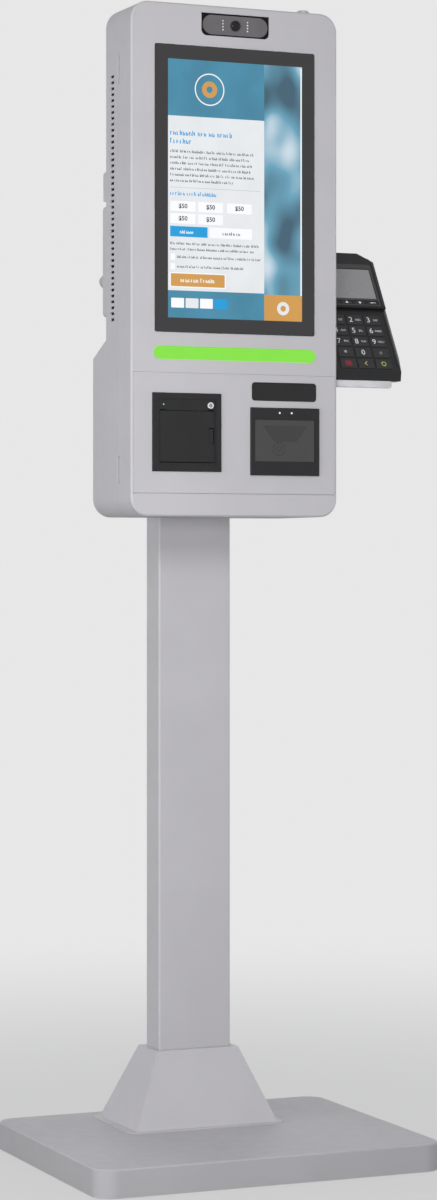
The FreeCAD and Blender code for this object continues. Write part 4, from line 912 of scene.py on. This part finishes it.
TELEPHONE_LETTERS = ("QZ", "ABC", "DEF", "GHI", "JKL", "MNO", "PRS", "TUV", "WXY")
for number, letters in enumerate(TELEPHONE_LETTERS, 1):
    key = "key_" + str(number)
    key_legend(key, "_digit", lettering(str(number), 12, INK), -0.45)
    key_legend(key, "_letters", lettering(letters, 4.4, INK), 0.42)
key_legend("key_0", "_digit", lettering("0", 12, INK))

# %% [markdown]
# The lower keys have marks that every till knows: a star and a hash, a red pad to
# cancel, a yellow arrow to go back and a green ring to accept.

# %% Marks of the lower keys
ARM_TURN = 0.7


def arrow_left(reach, width):
    """Two arms that meet at the tip of the arrow."""
    shape = bmesh.new()
    for way in (-1, 1):
        arm = block(-width / 2, reach, -width / 2, width / 2, INK)
        join(shape, arm, Matrix.Rotation(way * ARM_TURN, 4, "Z"))
    return shape


key_legend("key_left", "_star", lettering("*", 10, INK), up=-1)
key_legend("key_right", "_hash", lettering("#", 8, INK), finish="legend_grey")
key_legend("key_cancel", "_pad", block(-4.6, 4.6, -3.9, 3.9, INK, 0, 1), finish="legend_red")
key_legend("key_clear", "_arrow", arrow_left(4.8, 0.9), -0.16, "legend_yellow")
key_legend("key_enter", "_ring", spun([(2.5, 0), (3.7, 0), (3.7, INK), (2.5, INK)]),
           finish="legend_green")

# %% [markdown]
# Four soft keys belong to the display, and their marks are a dash, two arrows and a
# longer dash. The display is switched off: a grey pane lies on it and leaves a dark
# border all round.

# %% Soft keys and display
def triangle(reach, turn):
    shape = bmesh.new()
    bmesh.ops.create_circle(shape, cap_ends=True, segments=3, radius=reach * MM)
    thicken(shape, INK)
    bmesh.ops.rotate(shape, matrix=Matrix.Rotation(turn, 3, "Z"), verts=shape.verts)
    return shape


soft_marks = (block(-2, 2, -0.6, 0.6, INK), triangle(2.8, 0), triangle(2.8, math.pi),
              block(-4.2, 4.2, -0.6, 0.6, INK))
for number, mark in enumerate(soft_marks, 1):
    key_legend("soft_key_" + str(number), "_mark", mark)

PANE_BORDER = 1.2
display_low, display_high = on_face("terminal_display")
pane = block(display_low.x + PANE_BORDER, display_high.x - PANE_BORDER,
             display_low.y + PANE_BORDER, display_high.y - PANE_BORDER, INK, 0, 1)
finish_piece(pane, "terminal_panel", terminal_axes @ at(0, 0, display_high.z), "stand",
             "screen_glass", "panel_grey")

# %% [markdown]
# A smooth border surrounds the display and the soft keys. One sheet with holes would
# need a cutter, and strips that meet edge to edge look the same. Two low rails on the
# right guide a card that is drawn through, one on each step of the face.

# %% Border and card rails
UPPER_DECK, LOWER_DECK = 9, 3
BORDER_THICK = 0.25
BORDER_SIDE = 44.5
BORDER_LOW, BORDER_HIGH = 120.2, 191
SOFT_SIDE = 42
SOFT_LOW, SOFT_HIGH = 122.2, 128.8
border = bmesh.new()
for left, right, low, high in (
        (-BORDER_SIDE, BORDER_SIDE, display_high.y, BORDER_HIGH),
        (-BORDER_SIDE, BORDER_SIDE, SOFT_HIGH, display_low.y),
        (-BORDER_SIDE, BORDER_SIDE, BORDER_LOW, SOFT_LOW),
        (-BORDER_SIDE, display_low.x, display_low.y, display_high.y),
        (display_high.x, BORDER_SIDE, display_low.y, display_high.y),
        (SOFT_SIDE, BORDER_SIDE, SOFT_LOW, SOFT_HIGH)):
    add_block(border, left, right, low, high, BORDER_THICK)
finish_piece(border, "terminal_border", terminal_axes @ at(0, 0, UPPER_DECK), "stand",
             "terminal_plastic", "terminal_border")
rails = bmesh.new()
add_block(rails, 47.2, 48.6, 121, 195, 0.9, UPPER_DECK, 0.5)
add_block(rails, 48.4, 49.8, 24, 114, 1.1, LOWER_DECK, 0.5)
finish_piece(rails, "terminal_rails", terminal_axes, "stand", "terminal_plastic",
             "terminal_border")

# %% [markdown]
# The shelf under the terminal is folded sheet, and a pale moulded strip with rounded
# edges covers its front lip so that no hand meets a raw edge. A bevel on its sharp
# edges is enough to round it, and it catches the light. The strip's pale colour is
# partly its own and partly a painted highlight along the lip.

# %% Edge strip of the shelf
def soften(shape, width, sharper_than=40):
    """Bevels every sharp edge by a width, so that it catches the light."""
    rim = [edge for edge in shape.edges
           if edge.calc_face_angle(0) > math.radians(sharper_than)]
    bmesh.ops.bevel(shape, geom=rim, offset=width * MM, segments=2, profile=0.5,
                    affect="EDGES", material=-1)


LIP_TALL = 10
STRIP_THICK = 3
STRIP_CORNER = 3.5
shelf_low, shelf_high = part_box("terminal_bracket")
shelf_top = case_low[2] / MM
strip = block(shelf_low[0] / MM + 2.2, shelf_high[0] / MM - 0.4, shelf_top - LIP_TALL,
              shelf_top - 0.2, STRIP_THICK, 0, STRIP_CORNER)
soften(strip, 1)
# The strip's pale colour is partly a painted highlight.
finish_piece(strip, "shelf_edge", facing_front(shelf_low[1]), "stand", "cap_plastic",
             "edge_pale_highlight")

# %% [markdown]
# The key lock is turned on a lathe: a domed head on the sheet, a plain neck under it and
# a body with a fine thread. The solid model has only its outline, so a spun piece takes
# its place. Its profile is a list of radius and height, from the bore outwards.

# %% Key lock
PLUG_RADIUS = 5.05
BODY_RADIUS = 7.9
THREAD_DEEP = 0.35
THREAD_PITCH = 1.0
NECK_LONG = 2
CROWN_START = 0.35
CROWN_ROUND = 3.2
CROWN_RISE = 1.15
EDGE_BREAK = 0.3
lock_low, lock_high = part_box("lock_barrel")
lock_x, lock_y, _ = middle((lock_low, lock_high))
lock_foot, lock_crown = lock_low[2] / MM, lock_high[2] / MM
head_radius = (lock_high[0] - lock_low[0]) / 2 / MM
sheet_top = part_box("front_housing")[1][2] / MM

root_radius = BODY_RADIUS - THREAD_DEEP
profile = [(PLUG_RADIUS, lock_foot), (root_radius, lock_foot)]
thread_count = int((sheet_top - NECK_LONG - lock_foot) / THREAD_PITCH)
for turn in range(thread_count):
    start = lock_foot + turn * THREAD_PITCH
    profile.append((BODY_RADIUS, start + THREAD_PITCH / 2))
    profile.append((root_radius, start + THREAD_PITCH))
profile += [(root_radius, sheet_top), (head_radius, sheet_top)]
rise = (lock_crown - sheet_top) * (1 - CROWN_START)
for turn in (0, 25, 50, 75):
    slope = math.radians(turn)
    profile.append((head_radius - CROWN_ROUND * (1 - math.cos(slope)),
                    sheet_top + rise * CROWN_START + rise * math.sin(slope) * CROWN_RISE))
profile += [(PLUG_RADIUS + EDGE_BREAK, lock_crown), (PLUG_RADIUS, lock_crown - EDGE_BREAK)]
barrel = finish_piece(spun(profile, 40), "lock_turned", at(lock_x, lock_y), "front_door",
                      "lock_chrome", crease=25)
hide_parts("lock_barrel")
print("lock threads:", thread_count)

# %% [markdown]
# The rows of slots in the sides let the warm air out. Without a screen one could look
# straight through the head, so a dark dust screen lies behind each row. It is a thin
# tray: a block whose large face is inset and pushed in. The screens are made lying
# down and turned to stand inside the side walls.

# %% Dust screens
SHEET = 2
SCREEN_GAP = 2.6
SCREEN_THICK = 1.2
SCREEN_RIM = 2.5
SCREEN_HALF_WIDE, SCREEN_HALF_TALL = 11.5, 176
SCREEN_Y, SCREEN_Z = -1.2, 1302
screen_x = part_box("rear_housing")[1][0] / MM - SHEET - SCREEN_GAP - SCREEN_THICK
for side, name in ((-1, "dust_screen_left"), (1, "dust_screen_right")):
    tray = block(-SCREEN_HALF_WIDE, SCREEN_HALF_WIDE, -SCREEN_HALF_TALL, SCREEN_HALF_TALL,
                 SCREEN_THICK, 0, 2)
    sink_top(tray, SCREEN_RIM, SCREEN_THICK * 0.5)
    upright = Matrix.Rotation(math.pi / 2 * side, 4, "Z") @ facing_front(0)
    finish_piece(tray, name, at(screen_x * side, SCREEN_Y, SCREEN_Z) @ upright, "stand",
                 "trim_black", "dust_foam")

# %% [markdown]
# The knob of the service cover is a round grip with a sloping face for the thumb. It
# starts as a short cylinder, a plane cuts the slope off, the cut is closed with one
# face, and the sharp edges are bevelled. A spindle and a tongue behind it hold the cover.

# %% Knob of the service cover
def facing_rear(depth):
    """Lays flat work on a face that looks to the rear. Its x runs the other way."""
    return Matrix.Rotation(math.pi, 4, "Z") @ facing_front(-depth)


KNOB_RADIUS = 11.25
KNOB_TALL = 14
KNOB_SLOPE = 9.5
SLOPE_START = 1.5
SPINDLE_RADIUS, SPINDLE_LONG = 4, 8.2
TONGUE_LONG, TONGUE_WIDE, TONGUE_THICK = 15, 8, 1.5
knob_low, knob_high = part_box("service_cover_knob")
knob_x = middle((knob_low, knob_high))[0]
knob_z = knob_high[2] / MM - KNOB_RADIUS
grip = bmesh.new()
bmesh.ops.create_cone(grip, cap_ends=True, segments=48, radius1=KNOB_RADIUS * MM,
                      radius2=KNOB_RADIUS * MM, depth=KNOB_TALL * MM,
                      matrix=at(0, 0, KNOB_TALL / 2))
slope_way = Vector((0, KNOB_TALL - SLOPE_START, KNOB_SLOPE)).normalized()
slope_foot = Vector((0, KNOB_RADIUS, SLOPE_START)) * MM
cut = bmesh.ops.bisect_plane(grip, geom=grip.verts[:] + grip.edges[:] + grip.faces[:],
                             plane_co=slope_foot, plane_no=slope_way, clear_outer=True)
cut_edges = [item for item in cut["geom_cut"] if isinstance(item, bmesh.types.BMEdge)]
bmesh.ops.contextual_create(grip, geom=cut_edges)
soften(grip, 0.7)
spindle = spun([(0, 0), (SPINDLE_RADIUS, 0), (SPINDLE_RADIUS, SPINDLE_LONG),
                (0, SPINDLE_LONG)], 24)
tongue = block(-TONGUE_WIDE / 2, TONGUE_WIDE / 2, -TONGUE_LONG, 0, TONGUE_THICK, 0, 1)
for inner_part in (spindle, tongue):
    join(grip, inner_part, at(0, 0, -SPINDLE_LONG))
behind_cover = facing_rear(knob_high[1] - KNOB_TALL * MM)
finish_piece(grip, "service_knob_grip", behind_cover @ at(-knob_x, knob_z),
             "service_knob", "cap_plastic", crease=30)
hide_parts("service_cover_knob")
print("knob at", round(knob_x, 1), round(knob_z, 1))

# %% [markdown]
# When the door is open the inside shows, so the main parts there get their screws.
# A button head has a round crown with a hexagonal socket. The crown is turned in 24
# steps and the socket in 6, and the two rims are bridged with triangles.

# %% Screws
def screw_head(radius, height):
    shape = bmesh.new()
    loops = []
    socket = radius * 0.48
    for segments, reach, level in ((24, radius, 0), (24, radius, height * 0.4),
                                   (24, radius * 0.8, height), (6, socket, height),
                                   (6, socket, height * 0.35)):
        made = bmesh.ops.create_circle(shape, segments=segments, radius=reach * MM,
                                       matrix=at(0, 0, level))
        rim = {edge for vertex in made["verts"] for edge in vertex.link_edges}
        loops.append(list(rim))
    for lower, upper in zip(loops, loops[1:]):
        bmesh.ops.bridge_loops(shape, edges=lower + upper)
    for rim in (loops[0], loops[-1]):
        bmesh.ops.contextual_create(shape, geom=rim)
    return shape


def screws(name, spots, radius, height, place, body):
    """Several alike screw heads in one piece."""
    shape = bmesh.new()
    for x, y in spots:
        join(shape, screw_head(radius, height), at(x, y))
    finish_piece(shape, name, place, body, "zinc_steel", crease=30)

# %% [markdown]
# Behind the glass the display module carries its driver board. A board is a thin green
# plate with chips and sockets in rows, and a seeded dice sets their sizes.

# %% Driver board of the display
BOARD_THICK = 1.6
BOARD_HALF_WIDE = 70
BOARD_LOW, BOARD_HIGH = 1190, 1300
EDGE_TO_SCREW = 4
CHIP_LEFT, CHIP_LOW = -56, 1206
CHIP_COLUMN, CHIP_ROW = 22.4, 26
module_back = facing_rear(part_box("lcd_module")[1][1])
board = block(-BOARD_HALF_WIDE, BOARD_HALF_WIDE, BOARD_LOW, BOARD_HIGH, BOARD_THICK, 0, 3)
finish_piece(board, "display_board", module_back, "front_door", "board_plastic")

chips = bmesh.new()
dice = random.Random("display board")
for column in range(6):
    for row in range(4):
        half_wide = dice.uniform(6, 16) / 2
        half_tall = dice.uniform(5, 14) / 2
        x = CHIP_LEFT + CHIP_COLUMN * column
        y = CHIP_LOW + CHIP_ROW * row
        add_block(chips, x - half_wide, x + half_wide, y - half_tall, y + half_tall,
                  dice.uniform(0.8, 2.2), BOARD_THICK, 0.5)
finish_piece(chips, "display_chips", module_back, "front_door", "trim_black")

SOCKET_HALF, SOCKET_THICK = 9, 4.5
SOCKET_LOW, SOCKET_HIGH = 1291, 1297
sockets = bmesh.new()
for x in (-48, -16, 16, 48):
    add_block(sockets, x - SOCKET_HALF, x + SOCKET_HALF, SOCKET_LOW, SOCKET_HIGH,
              SOCKET_THICK, BOARD_THICK, 0.6)
finish_piece(sockets, "display_sockets", module_back, "front_door", "button_white")
screw_side = BOARD_HALF_WIDE - EDGE_TO_SCREW
screws("display_board_screws",
       [(x, y) for x in (-screw_side, screw_side)
        for y in (BOARD_LOW + EDGE_TO_SCREW, BOARD_HIGH - EDGE_TO_SCREW)],
       2.6, 1.8, module_back @ at(0, 0, BOARD_THICK), "front_door")

# %% [markdown]
# The computer is a finned block. Its sockets are in a row along its lower edge, where
# the cables come up. They are seen only past an open door, so each is a plain block of
# its own width.

# %% Sockets of the computer
PORT_LOW, PORT_HIGH = 3, 12
PORT_START, PORT_GAP = 14, 6
computer_low, computer_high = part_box("computer_module")
ports = bmesh.new()
port_left = computer_low[0] / MM + PORT_START
for wide in (22, 16, 16, 14, 14, 30, 18):
    add_block(ports, port_left, port_left + wide, PORT_LOW, PORT_HIGH, 2.2, 0, 0.8)
    port_left += wide + PORT_GAP
below = (Matrix.Translation((0, computer_high[1], computer_low[2]))
         @ Matrix.Rotation(math.pi, 4, "X"))
finish_piece(ports, "computer_ports", below, "stand", "zinc_steel")

# %% [markdown]
# The power supply has a row of screw clamps for its wires, and slots that let its
# warmth out. The clamps are laid out first, and their middles then serve the screws.

# %% Clamps and slots of the power supply
CLAMPS = 7
CLAMP_START, CLAMP_PITCH = 10, 9.6
CLAMP_WIDE, CLAMP_TALL, CLAMP_THICK = 8.2, 12, 1.2
supply_low, supply_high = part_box("power_supply")
supply_front = facing_front(supply_low[1])
supply_left = supply_low[0] / MM
clamp_low = supply_high[2] / MM - 16
clamps = bmesh.new()
clamp_middles = []
for place in range(CLAMPS):
    left = supply_left + CLAMP_START + CLAMP_PITCH * place
    add_block(clamps, left, left + CLAMP_WIDE, clamp_low, clamp_low + CLAMP_TALL,
              CLAMP_THICK, 0, 0.5)
    clamp_middles.append((left + CLAMP_WIDE / 2, clamp_low + CLAMP_TALL / 2))
finish_piece(clamps, "supply_clamps", supply_front, "stand", "trim_black")
screws("supply_clamp_screws", clamp_middles, 2.4, 1.2, supply_front @ at(0, 0, CLAMP_THICK),
       "stand")

SLOT_LEFT, SLOT_RIGHT, SLOT_TALL = 14, 71, 3
SLOT_START, SLOT_PITCH = 24, 9
slots = bmesh.new()
for row in range(12):
    low = supply_low[2] / MM + SLOT_START + SLOT_PITCH * row
    add_block(slots, supply_left + SLOT_LEFT, supply_left + SLOT_RIGHT, low, low + SLOT_TALL,
              0.2, 0, 1.4)
finish_piece(slots, "supply_slots", supply_front, "stand", "trim_black")
